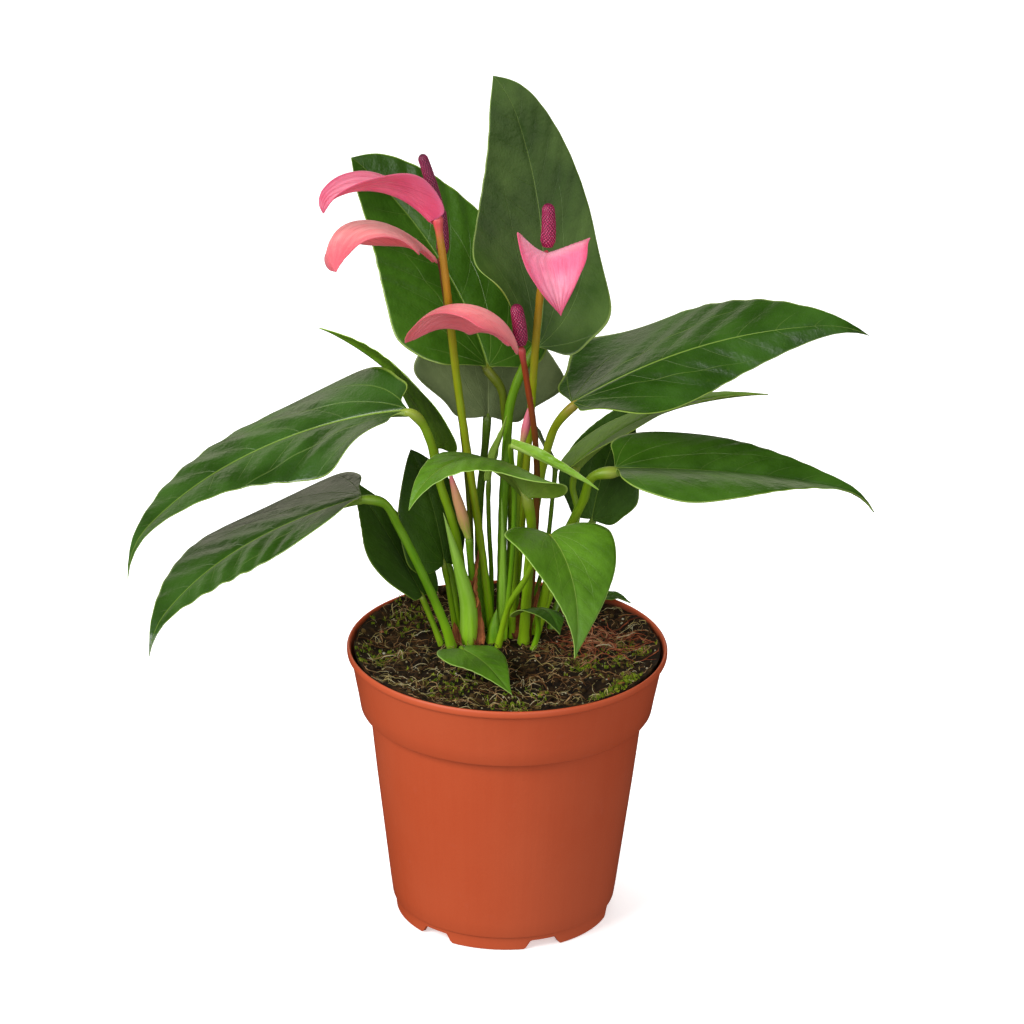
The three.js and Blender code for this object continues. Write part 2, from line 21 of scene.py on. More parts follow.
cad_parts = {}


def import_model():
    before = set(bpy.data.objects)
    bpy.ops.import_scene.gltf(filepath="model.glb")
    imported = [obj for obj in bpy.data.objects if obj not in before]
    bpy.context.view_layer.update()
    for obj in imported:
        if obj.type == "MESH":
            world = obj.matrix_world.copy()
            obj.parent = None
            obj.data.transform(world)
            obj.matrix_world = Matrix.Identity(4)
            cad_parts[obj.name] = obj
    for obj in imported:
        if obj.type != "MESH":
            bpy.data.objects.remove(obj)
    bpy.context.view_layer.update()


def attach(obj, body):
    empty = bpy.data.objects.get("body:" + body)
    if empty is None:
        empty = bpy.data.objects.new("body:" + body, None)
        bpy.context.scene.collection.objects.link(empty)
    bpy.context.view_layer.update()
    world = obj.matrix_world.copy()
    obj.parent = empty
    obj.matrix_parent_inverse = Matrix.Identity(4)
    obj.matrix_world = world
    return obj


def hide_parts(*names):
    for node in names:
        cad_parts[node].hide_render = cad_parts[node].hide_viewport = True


LOG = logging.getLogger("anthurium")

Point = tuple[float, float, float]
Colour = tuple[float, float, float, float]


def tint(code: str) -> Colour:
    """Turns a six-digit colour code into linear light.

    Args:
        code: red, green and blue as two hexadecimal digits each.

    Returns:
        The colour with an alpha of one.
    """
    parts = (int(code[i : i + 2], 16) / 255 for i in (0, 2, 4))
    red, green, blue = (p / 12.92 if p <= 0.04045 else ((p + 0.055) / 1.055) ** 2.4 for p in parts)
    return (red, green, blue, 1.0)


def smooth_step(values: np.ndarray, low: float, high: float) -> np.ndarray:
    """Rises smoothly from 0 at low to 1 at high, or falls if low is the larger."""
    share = np.clip((values - low) / (high - low), 0.0, 1.0)
    return share * share * (3 - 2 * share)


# ------------------------------------------------------------------ shader nodes


class Board:
    """Places and joins the nodes of one shader tree."""

    def __init__(self, tree: bpy.types.NodeTree) -> None:
        """Starts work on a tree."""
        self.tree = tree

    def feed(self, socket: bpy.types.NodeSocket, value: Any) -> None:
        """Links another socket to an input, or sets the input's own value."""
        if isinstance(value, bpy.types.NodeSocket):
            self.tree.links.new(value, socket)
        else:
            socket.default_value = value

    def add(self, kind: str, feeds: dict[str | int, Any] | None = None, **settings: Any) -> bpy.types.Node:
        """Adds a node.

        Args:
            kind: the node's type.
            feeds: values or sockets for its inputs, by name or place.
            settings: properties of the node itself.

        Returns:
            The new node.
        """
        node = self.tree.nodes.new(kind)
        for name, value in settings.items():
            setattr(node, name, value)
        for key, value in (feeds or {}).items():
            self.feed(node.inputs[key], value)
        return node

    def math(self, operation: str, *values: Any) -> bpy.types.NodeSocket:
        """Gives the result of one arithmetic step."""
        return self.add("ShaderNodeMath", dict(enumerate(values)), operation=operation).outputs[0]

    def ramp(self, value: Any, low: Any, high: Any, start: float, end: float) -> bpy.types.NodeSocket:
        """Turns smoothly from start at low to end at high."""
        feeds = {"Value": value, "From Min": low, "From Max": high, "To Min": start, "To Max": end}
        return self.add("ShaderNodeMapRange", feeds, interpolation_type="SMOOTHSTEP").outputs[0]

    def fade(self, value: Any, near: Any, far: Any) -> bpy.types.NodeSocket:
        """Falls smoothly from 1 at near to 0 at far."""
        return self.ramp(value, near, far, 1.0, 0.0)

    def rise(self, value: Any, low: Any, high: Any) -> bpy.types.NodeSocket:
        """Rises smoothly from 0 at low to 1 at high."""
        return self.ramp(value, low, high, 0.0, 1.0)

    def mix(self, share: Any, low: Any, high: Any) -> bpy.types.NodeSocket:
        """Mixes two colours."""
        return self.add("ShaderNodeMix", {0: share, 6: low, 7: high}, data_type="RGBA").outputs[2]

    def noise(self, place: Any, scale: Any, detail: float = 3.0) -> bpy.types.NodeSocket:
        """Gives a cloudy value between 0 and 1."""
        return self.add("ShaderNodeTexNoise", {"Vector": place, "Scale": scale, "Detail": detail}).outputs[0]

    def attribute(self, name: str) -> bpy.types.NodeSocket:
        """Reads a number stored on the mesh."""
        return self.add("ShaderNodeAttribute", attribute_name=name).outputs["Fac"]

    def object_place(self) -> bpy.types.NodeSocket:
        """Gives the place on the object, in metres."""
        return self.add("ShaderNodeTexCoord").outputs["Object"]

    def bump(self, height: Any, strength: float, distance: float, under: Any = None) -> bpy.types.NodeSocket:
        """Turns a height into a normal, on top of another normal if there is one."""
        node = self.add("ShaderNodeBump", {"Height": height, "Strength": strength, "Distance": distance})
        if under is not None:
            self.feed(node.inputs["Normal"], under)
        return node.outputs[0]


class Effect:
    """A shader node group that is made once and placed in many materials."""

    title: ClassVar[str]
    takes: ClassVar[dict[str, float | None]]
    gives: ClassVar[tuple[str, ...]]

    def draw(self, board: Board, source: Any) -> dict[str, bpy.types.NodeSocket]:
        """Lays out the group's nodes.

        Args:
            board: the group's board.
            source: the group's inputs, by name.

        Returns:
            The socket that feeds each output.
        """
        raise NotImplementedError

    def group(self) -> bpy.types.NodeTree:
        """Finds the group, or makes it the first time.

        Returns:
            The group's tree.
        """
        found = bpy.data.node_groups.get(self.title)
        if found:
            return found
        tree = bpy.data.node_groups.new(self.title, "ShaderNodeTree")
        for name, default in self.takes.items():
            kind = "NodeSocketVector" if default is None else "NodeSocketFloat"
            made = tree.interface.new_socket(name, in_out="INPUT", socket_type=kind)
            if default is not None:
                made.default_value = default
        for name in self.gives:
            tree.interface.new_socket(name, in_out="OUTPUT", socket_type="NodeSocketFloat")
        board = Board(tree)
        source = board.add("NodeGroupInput").outputs
        board.add("NodeGroupOutput", dict(self.draw(board, source)))
        return tree

    def place(self, board: Board, **feeds: Any) -> Any:
        """Places the group in a material.

        Args:
            board: the material's board.
            feeds: values or sockets for the inputs, with _ for a space.

        Returns:
            The group's outputs.
        """
        node = board.add("ShaderNodeGroup", node_tree=self.group())
        for name, value in feeds.items():
            board.feed(node.inputs[name.replace("_", " ")], value)
        return node.outputs


class VeinNet(Effect):
    """Midrib, veins that fan out from the joint, and curved laterals.

    Along runs from the joint (0) to the tip (1), Across is the distance from the midrib as a share of
    the length, and Span the same as a share of the half width.
    """

    title = "Vein net"
    takes = {"Along": 0.0, "Across": 0.0, "Span": 0.0, "Pairs": 8.0, "Line": 0.005}
    gives = ("Midrib", "Veins", "Quilt")

    FAN: ClassVar[tuple[tuple[float, float, float], ...]] = (
        (0.42, -0.36, 0.75),
        (0.86, -0.7, 0.42),
        (1.35, -0.5, 0.3),
    )  # start angle, turn per length, reach

    def draw(self, board: Board, source: Any) -> dict[str, bpy.types.NodeSocket]:
        """Lays out the midrib, the fan and the laterals."""
        along, line = source["Along"], source["Line"]
        away = board.math("ABSOLUTE", source["Across"])
        slim = board.math("MULTIPLY_ADD", along, -0.85, 1.15)
        rib_edge = board.math("MULTIPLY", line, slim)
        midrib = board.fade(away, board.math("MULTIPLY", rib_edge, 0.35), rib_edge)
        angle = board.math("ARCTAN2", away, along)
        squares = board.math("POWER", away, 2.0), board.math("POWER", along, 2.0)
        radius = board.math("SQRT", board.math("ADD", *squares))
        veins: Any = 0.0
        for start, turn, reach in self.FAN:
            bent = board.math("MULTIPLY_ADD", radius, turn, start)
            gap = board.math("MULTIPLY", board.math("ABSOLUTE", board.math("SUBTRACT", angle, bent)), radius)
            one = board.fade(gap, board.math("MULTIPLY", line, 0.12), board.math("MULTIPLY", line, 0.55))
            one = board.math("MULTIPLY", one, board.fade(radius, reach * 0.35, reach))
            veins = board.math("MAXIMUM", veins, one)
        slant = board.math("MULTIPLY_ADD", source["Span"], 0.6, 0.75)
        phase = board.math("SUBTRACT", along, board.math("MULTIPLY", away, slant))
        phase = board.math("MULTIPLY", phase, source["Pairs"])
        off = board.math("ABSOLUTE", board.math("SUBTRACT", board.math("FRACT", phase), 0.5))
        # Quilt is 0 on a lateral and 1 midway between two; the leaf finish paints pleat shading with it.
        quilt = board.math("MULTIPLY", off, 2.0)
        off = board.math("DIVIDE", off, source["Pairs"])
        side = board.fade(off, board.math("MULTIPLY", line, 0.1), board.math("MULTIPLY", line, 0.5))
        side = board.math("MULTIPLY", side, board.fade(source["Span"], 0.45, 0.85))
        side = board.math("MULTIPLY", side, board.rise(phase, 0.6, 1.2))
        veins = board.math("MAXIMUM", veins, board.math("MULTIPLY", side, 0.55))
        return {"Midrib": midrib, "Veins": veins, "Quilt": quilt}


class Mottle(Effect):
    """Slow clouds, fine grain and small flecks of a living or moulded surface."""

    title = "Mottle"
    takes = {"Place": None, "Scale": 60.0}
    gives = ("Cloud", "Grain", "Flecks")

    def draw(self, board: Board, source: Any) -> dict[str, bpy.types.NodeSocket]:
        """Lays out three sizes of noise."""
        place, scale = source["Place"], source["Scale"]
        cloud = board.rise(board.noise(place, scale, 4.0), 0.3, 0.7)
        grain = board.noise(place, board.math("MULTIPLY", scale, 22.0), 4.0)
        flecks = board.noise(place, board.math("MULTIPLY", scale, 13.0), 1.0)
        return {"Cloud": cloud, "Grain": grain, "Flecks": board.rise(flecks, 0.68, 0.78)}


class Streaks(Effect):
    """Fine lines that run the length of a stalk, a sheath or a petal."""

    title = "Streaks"
    takes = {"Along": 0.0, "Turn": 0.0, "Lines": 6.0, "Reach": 2.0}
    gives = ("Tone", "Ridges")

    def draw(self, board: Board, source: Any) -> dict[str, bpy.types.NodeSocket]:
        """Lays out noise that is stretched along the piece and closed round it."""
        full = board.math("MULTIPLY", source["Turn"], math.tau)
        feeds = {
            "X": board.math("MULTIPLY", board.math("COSINE", full), source["Lines"]),
            "Y": board.math("MULTIPLY", board.math("SINE", full), source["Lines"]),
            "Z": board.math("MULTIPLY", source["Along"], source["Reach"]),
        }
        place = board.add("ShaderNodeCombineXYZ", feeds).outputs[0]
        tone = board.rise(board.noise(place, 1.0, 3.0), 0.3, 0.7)
        return {"Tone": tone, "Ridges": board.noise(place, 2.6, 2.0)}


class Margin(Effect):
    """A thin line along the edge of a blade."""

    title = "Margin"
    takes = {"Span": 0.0, "Inner": 0.975, "Outer": 0.992}
    gives = ("Edge",)

    def draw(self, board: Board, source: Any) -> dict[str, bpy.types.NodeSocket]:
        """Lays out the band."""
        return {"Edge": board.rise(source["Span"], source["Inner"], source["Outer"])}


# ------------------------------------------------------------------ finishes


class Finish:
    """A procedural material that is made once under its own name."""

    name: str

    def dress(self, board: Board, skin: bpy.types.Node) -> None:
        """Wires the finish's nodes into the surface shader."""
        raise NotImplementedError

    def material(self) -> bpy.types.Material:
        """Finds the material, or makes it the first time.

        Returns:
            The material.
        """
        found = bpy.data.materials.get(self.name)
        if found:
            return found
        made = bpy.data.materials.new(self.name)
        made.use_nodes = True
        made.node_tree.nodes.clear()
        board = Board(made.node_tree)
        skin = board.add("ShaderNodeBsdfPrincipled")
        board.add("ShaderNodeOutputMaterial", {"Surface": skin.outputs[0]})
        self.dress(board, skin)
        return made


@dataclass(frozen=True)
class LeafFinish(Finish):
    """A leaf's face: mottled green with a net of paler veins and a thin pale margin."""

    name: str
    deep: str
    bright: str
    vein: str
    margin: str
    roughness: float = 0.4
    gloss: float = 0.45
    vein_strength: float = 0.7
    pairs: float = 8.0

    def dress(self, board: Board, skin: bpy.types.Node) -> None:
        """Wires the leaf's nodes."""
        along, across, span = (board.attribute(n) for n in ("along", "across", "span"))
        mottle = Mottle().place(board, Place=board.object_place(), Scale=45.0)
        net = VeinNet().place(board, Along=along, Across=across, Span=span, Pairs=self.pairs)
        # Painted shading of the pleats: tissue lighter on the raised panes midway between the laterals and
        # darker in the sunken lines beside them.
        quilt = board.math("MULTIPLY", net["Quilt"], 0.16)
        share = board.math("MULTIPLY_ADD", mottle["Cloud"], 0.84, quilt)
        tissue = board.mix(share, tint(self.deep), tint(self.bright))
        tissue = board.mix(board.math("MULTIPLY", mottle["Flecks"], 0.04), tissue, tint(self.vein))
        veins = board.math("MULTIPLY", net["Veins"], 0.34 * self.vein_strength)
        tissue = board.mix(veins, tissue, tint(self.vein))
        rib = board.math("MULTIPLY", net["Midrib"], board.math("MULTIPLY_ADD", along, -0.6, 1.0))
        tissue = board.mix(board.math("MULTIPLY", rib, self.vein_strength), tissue, tint(self.vein))
        edge = board.math("MULTIPLY", Margin().place(board, Span=span)["Edge"], 0.75)
        board.feed(skin.inputs["Base Color"], board.mix(edge, tissue, tint(self.margin)))
        rough = board.math("MULTIPLY_ADD", mottle["Cloud"], 0.14, self.roughness)
        board.feed(skin.inputs["Roughness"], board.math("MULTIPLY_ADD", net["Veins"], 0.08, rough))
        skin.inputs["Specular IOR Level"].default_value = self.gloss
        crinkle = board.noise(board.object_place(), 300.0, 2.0)
        fine = board.bump(crinkle, 0.3, 0.0012, board.bump(mottle["Grain"], 0.3, 0.0005))
        sunk = board.math("SUBTRACT", 1.0, board.math("MAXIMUM", net["Veins"], net["Midrib"]))
        board.feed(skin.inputs["Normal"], board.bump(sunk, 0.55, 0.0004, fine))


@dataclass(frozen=True)
class PetalFinish(Finish):
    """A spathe: pink tissue with fine long veins, a blush and a darker edge."""

    name: str
    pale: str
    rich: str
    vein: str
    edge: str
    base: str
    roughness: float = 0.36

    def dress(self, board: Board, skin: bpy.types.Node) -> None:
        """Wires the spathe's nodes."""
        along, across, span = (board.attribute(n) for n in ("along", "across", "span"))
        mottle = Mottle().place(board, Place=board.object_place(), Scale=70.0)
        fan = board.math("DIVIDE", across, board.math("MULTIPLY_ADD", along, -0.55, 0.95))
        lines = Streaks().place(board, Along=along, Turn=fan, Lines=9.0, Reach=1.6)
        tissue = board.mix(mottle["Cloud"], tint(self.pale), tint(self.rich))
        tissue = board.mix(board.math("MULTIPLY", board.rise(span, 0.2, 0.9), 0.75), tissue, tint(self.rich))
        share = board.math("MULTIPLY", board.rise(lines["Ridges"], 0.5, 0.7), 0.55)
        tissue = board.mix(share, tissue, tint(self.vein))
        tissue = board.mix(board.math("MULTIPLY", mottle["Flecks"], 0.16), tissue, tint(self.vein))
        # Towards the joint the tissue turns to the base colour; the lining look's lighter base is painted
        # light against the shade there.
        at_base = board.math("MULTIPLY", board.fade(along, 0.02, 0.3), 0.65)
        tissue = board.mix(at_base, tissue, tint(self.base))
        rim = board.math("MAXIMUM", board.rise(span, 0.8, 1.0), board.rise(along, 0.72, 1.0))
        tissue = board.mix(board.math("MULTIPLY", rim, 0.8), tissue, tint(self.edge))
        board.feed(skin.inputs["Base Color"], tissue)
        board.feed(skin.inputs["Roughness"], board.math("MULTIPLY_ADD", lines["Tone"], 0.12, self.roughness))
        skin.inputs["Specular IOR Level"].default_value = 0.45
        skin.inputs["Sheen Weight"].default_value = 0.15
        skin.inputs["Subsurface Weight"].default_value = 0.35
        skin.inputs["Subsurface Radius"].default_value = (1.0, 0.45, 0.4)
        skin.inputs["Subsurface Scale"].default_value = 0.003
        fine = board.bump(mottle["Grain"], 0.2, 0.0003)
        board.feed(skin.inputs["Normal"], board.bump(lines["Ridges"], 0.3, 0.0005, fine))


@dataclass(frozen=True)
class StalkFinish(Finish):
    """A stalk or sheath whose colour changes from its foot to its top."""

    name: str
    foot: str
    middle: str
    top: str
    joint: str
    flank: str
    roughness: float = 0.36
    flank_share: float = 0.35

    def dress(self, board: Board, skin: bpy.types.Node) -> None:
        """Wires the stalk's nodes."""
        along, turn = board.attribute("along"), board.attribute("turn")
        mottle = Mottle().place(board, Place=board.object_place(), Scale=90.0)
        lines = Streaks().place(board, Along=along, Turn=turn, Lines=2.4, Reach=6.0)
        # Foot to middle: a lighter foot is partly the stalk's own paler base, partly painted light against
        # the shade near the soil.
        tissue = board.mix(board.rise(along, 0.0, 0.45), tint(self.foot), tint(self.middle))
        tissue = board.mix(board.rise(along, 0.6, 0.92), tissue, tint(self.top))
        tissue = board.mix(board.rise(along, 0.93, 0.985), tissue, tint(self.joint))
        tissue = board.mix(board.math("MULTIPLY", lines["Tone"], self.flank_share), tissue, tint(self.flank))
        tissue = board.mix(board.math("MULTIPLY", mottle["Flecks"], 0.35), tissue, tint(self.flank))
        board.feed(skin.inputs["Base Color"], tissue)
        gloss = board.math("MULTIPLY_ADD", mottle["Cloud"], 0.15, self.roughness)
        board.feed(skin.inputs["Roughness"], gloss)
        skin.inputs["Specular IOR Level"].default_value = 0.55
        fine = board.bump(mottle["Grain"], 0.15, 0.0003)
        board.feed(skin.inputs["Normal"], board.bump(lines["Ridges"], 0.35, 0.0004, fine))


@dataclass(frozen=True)
class SpikeFinish(Finish):
    """A spadix: darker between its tiny florets as painted shade, with painted glints on their crowns."""

    name: str
    deep: str
    face: str
    glint: str

    def dress(self, board: Board, skin: bpy.types.Node) -> None:
        """Wires the spadix's nodes."""
        floret = board.attribute("floret")
        mottle = Mottle().place(board, Place=board.object_place(), Scale=180.0)
        # Darker between the florets: painted shade; pale crowns: painted glints.
        tissue = board.mix(board.rise(floret, 0.15, 0.75), tint(self.deep), tint(self.face))
        lit = board.math("MULTIPLY", board.rise(floret, 0.7, 0.98), board.rise(mottle["Grain"], 0.54, 0.64))
        tissue = board.mix(board.math("MULTIPLY", lit, 0.85), tissue, tint(self.glint))
        board.feed(skin.inputs["Base Color"], tissue)
        board.feed(skin.inputs["Roughness"], board.math("MULTIPLY_ADD", mottle["Cloud"], 0.2, 0.42))
        board.feed(skin.inputs["Normal"], board.bump(mottle["Grain"], 0.2, 0.0003))


@dataclass(frozen=True)
class PaperFinish(Finish):
    """A dead, papery leaf base or root: streaked brown."""

    name: str
    deep: str
    light: str
    roughness: float = 0.75

    def dress(self, board: Board, skin: bpy.types.Node) -> None:
        """Wires the papery nodes."""
        along, across = board.attribute("along"), board.attribute("across")
        mottle = Mottle().place(board, Place=board.object_place(), Scale=160.0)
        lines = Streaks().place(board, Along=along, Turn=across, Lines=6.0, Reach=1.5)
        share = board.math("MULTIPLY", board.math("ADD", mottle["Cloud"], lines["Tone"]), 0.5)
        board.feed(skin.inputs["Base Color"], board.mix(share, tint(self.deep), tint(self.light)))
        board.feed(skin.inputs["Roughness"], board.math("MULTIPLY_ADD", mottle["Cloud"], 0.1, self.roughness))
        fine = board.bump(mottle["Grain"], 0.5, 0.0004)
        board.feed(skin.inputs["Normal"], board.bump(lines["Ridges"], 0.6, 0.0006, fine))


@dataclass(frozen=True)
class EarthFinish(Finish):
    """Peat, crumbs, fibres or moss, whose tone is stored on the mesh."""

    name: str
    deep: str
    middle: str
    light: str
    roughness: float = 0.92

    def dress(self, board: Board, skin: bpy.types.Node) -> None:
        """Wires the earth's nodes."""
        tone = board.attribute("tone")
        mottle = Mottle().place(board, Place=board.object_place(), Scale=220.0)
        mixed = board.math("MULTIPLY_ADD", mottle["Cloud"], 0.45, board.math("MULTIPLY", tone, 0.75))
        earth = board.mix(board.rise(mixed, 0.05, 0.6), tint(self.deep), tint(self.middle))
        earth = board.mix(board.rise(mixed, 0.6, 1.1), earth, tint(self.light))
        board.feed(skin.inputs["Base Color"], earth)
        gloss = board.math("MULTIPLY_ADD", mottle["Cloud"], -0.12, self.roughness)
        board.feed(skin.inputs["Roughness"], gloss)
        skin.inputs["Specular IOR Level"].default_value = 0.25
        board.feed(skin.inputs["Normal"], board.bump(mottle["Grain"], 0.9, 0.0012))


@dataclass(frozen=True)
class PotFinish(Finish):
    """Thin moulded plastic: satin, with faint flow marks, scuffs, and soil dust with painted shade on the
    inner wall near the soil.
    """

    name: str
    body: str
    worn: str
    dust_and_shade_colour: str

    def dress(self, board: Board, skin: bpy.types.Node) -> None:
        """Wires the plastic's nodes."""
        place = board.object_place()
        mottle = Mottle().place(board, Place=place, Scale=18.0)
        split = board.add("ShaderNodeSeparateXYZ", {0: place}).outputs
        turn = board.math("DIVIDE", board.math("ARCTAN2", split["Y"], split["X"]), math.tau)
        lines = Streaks().place(
            board, Along=board.math("MULTIPLY", split["Z"], 9.0), Turn=turn, Lines=14.0, Reach=1.0
        )
        plastic = board.mix(board.math("MULTIPLY", mottle["Cloud"], 0.45), tint(self.body), tint(self.worn))
        plastic = board.mix(board.math("MULTIPLY", lines["Tone"], 0.14), plastic, tint(self.worn))
        inside = board.attribute("inside")
        # The inner wall darkens near the soil: partly soil dust, partly painted shade inside the pot.
        dust_and_shade = board.math("MULTIPLY", inside, board.rise(mottle["Cloud"], -0.4, 0.7))
        dust_and_shade = board.math("MULTIPLY", dust_and_shade, board.fade(split["Z"], 0.1052, 0.1076))
        plastic = board.mix(board.math("MULTIPLY", dust_and_shade, 0.8), plastic, tint(self.dust_and_shade_colour))
        board.feed(skin.inputs["Base Color"], plastic)
        rough = board.math("MULTIPLY_ADD", mottle["Cloud"], 0.1, 0.42)
        board.feed(skin.inputs["Roughness"], board.math("MULTIPLY_ADD", mottle["Flecks"], 0.12, rough))
        skin.inputs["Specular IOR Level"].default_value = 0.42
        fine = board.bump(mottle["Grain"], 0.12, 0.0004)
        board.feed(skin.inputs["Normal"], board.bump(lines["Ridges"], 0.06, 0.0008, fine))


class LeafLook(Enum):
    """How a blade's tissue looks."""

    GLOSSY = LeafFinish("leaf_glossy", "234404", "3a620c", "88a63e", "90aa44", 0.3, 0.6)
    # A darker copy of the glossy leaf for the right upper leaf: painted shade that tones down its lit face.
    PAINTED_SHADE = LeafFinish("leaf_painted_shade", "1b3802", "2e5406", "88a63e", "90aa44", 0.33, 0.42)
    # The left leaves' look: darker than the glossy leaf as painted shade, and glossier of its own.
    LACQUERED = LeafFinish("leaf_lacquered", "1a3602", "2c5206", "88a63e", "90aa44", 0.3, 0.75)
    # A lighter copy of the glossy leaf for the front leaves: painted light standing in for the sheen they
    # catch.
    PAINTED_LIGHT = LeafFinish("leaf_painted_light", "3a5e0c", "5a8818", "a0bc50", "a8c860", 0.34, 0.5)
    LIT = LeafFinish("leaf_lit", "5c8a08", "82b014", "a0c444", "a8c854", 0.45, 0.4)
    DUSKY = LeafFinish("leaf_dusky", "2e4a14", "4e6a28", "84a04c", "90a852", 0.36, 0.55)
    SHADED = LeafFinish("leaf_shaded", "264604", "3c600c", "789630", "8aa43c", 0.45, 0.4)
    LIMED = LeafFinish("leaf_limed", "466a06", "668c10", "90a838", "98b044", 0.45, 0.4)
    GREYED = LeafFinish("leaf_greyed", "536039", "6a764a", "8c9864", "96a06c", 0.6, 0.3, 0.6)
    FRESH = LeafFinish("leaf_fresh", "6c981c", "86b038", "b8d070", "c8dc88", 0.34, 0.5, 0.7)
    BENEATH = LeafFinish("leaf_beneath", "5a7a1a", "78942e", "98ae4a", "a4b858", 0.5, 0.35, 0.6)
    GREY_BENEATH = LeafFinish("leaf_grey_beneath", "626e48", "7a845c", "949e72", "9ca67a", 0.66, 0.25, 0.5)


class PetalLook(Enum):
    """How a spathe's tissue looks."""

    MAGENTA = PetalFinish("petal_magenta", "e0708e", "ca4c72", "9c2a4e", "c8587c", "cc3c60")
    BLUSH = PetalFinish("petal_blush", "e492a2", "d66680", "b23858", "bc3c5e", "d4506e")
    CORAL = PetalFinish("petal_coral", "f88a90", "f06c78", "c04454", "dc606c", "e05c68")
    # The lining's base colour is lighter than its rich pink as painted light against the shade at the
    # spathe's foot.
    LINING = PetalFinish("petal_lining", "f88a8c", "e6686e", "bc4450", "c84c5c", "ee8480")
    ROSE = PetalFinish("petal_rose", "f098ac", "dc6686", "b83458", "c83a60", "f09cae")
    ROSE_BACK = PetalFinish("petal_rose_back", "dc8094", "c8506c", "a03450", "c44060", "c0405c")


class StalkLook(Enum):
    """How a stalk is coloured from its foot to its joint."""

    # Where a foot colour is lighter than the middle, it is partly the stalk's paler base and partly painted
    # light against the shade near the soil.
    FRESH = StalkFinish("stalk_fresh", "8cc414", "5a9002", "5c8800", "6c8e1c", "84a820")
    OLIVE = StalkFinish("stalk_olive", "94c414", "6a8802", "5a6800", "687020", "7a8810")
    YELLOW = StalkFinish("stalk_yellow", "9ccc18", "729c04", "6e9000", "849430", "90a820")
    DARK = StalkFinish("stalk_dark", "649400", "4c7000", "4e6c04", "58701c", "688810")
    JOINTED = StalkFinish("stalk_jointed", "6a8e00", "6c9000", "808e00", "8c7824", "96a220")
    AMBER = StalkFinish("stalk_amber", "8cc80c", "7e9800", "b0801c", "d84a5c", "8c6404")
    UMBER = StalkFinish("stalk_umber", "5c8000", "586800", "6c4008", "943430", "503804", 0.4, 0.6)
    SCARLET = StalkFinish("stalk_scarlet", "443400", "603c00", "8e3410", "c04044", "6a2a08", 0.38, 0.45)
    # The sheath's pale greens are its own, raised further as painted light against the shade the leaves cast
    # on it.
    SHEATH = StalkFinish("stalk_sheath", "98d414", "88bc2c", "8cb44c", "a4c06c", "a8cc5c", 0.42)
    BUD_ROSE = StalkFinish("bud_rose", "9ca03c", "c86474", "d87484", "c86878", "b85468", 0.4)
    BUD_CREAM = StalkFinish("bud_cream", "8cb428", "c0905c", "d06474", "b85468", "d08878", 0.42)


class SpikeLook(Enum):
    """How a spadix is coloured."""

    PLUM = SpikeFinish("spike_plum", "58062a", "aa1c56", "ffd0e0")
    WINE = SpikeFinish("spike_wine", "480a26", "8c1e4c", "e0a0b4")


class EarthLook(Enum):
    """What the soil is made of."""

    PEAT = EarthFinish("earth_peat", "0a0500", "281805", "5c401a")
    CRUMB = EarthFinish("earth_crumb", "0e0802", "34220a", "786030")
    FIBRE = EarthFinish("earth_fibre", "2c1806", "7a5028", "e0b47c", 0.8)
    STRAW = EarthFinish("earth_straw", "8c7c34", "d8c47c", "fff4c8", 0.7)
    SHRED = EarthFinish("earth_shred", "6c3018", "b8623c", "eaac80", 0.8)
    MOSS = EarthFinish("earth_moss", "3c5604", "7c9414", "b8cc34", 0.85)
    SPECK = EarthFinish("earth_speck", "8a7c54", "c4b88c", "ece6cc", 0.7)


PAPER = PaperFinish("papery_base", "6a3416", "c0723c")
POT_PLASTIC = PotFinish("pot_terracotta", "b84a24", "c2562e", "4c3220")


# ------------------------------------------------------------------ mesh building


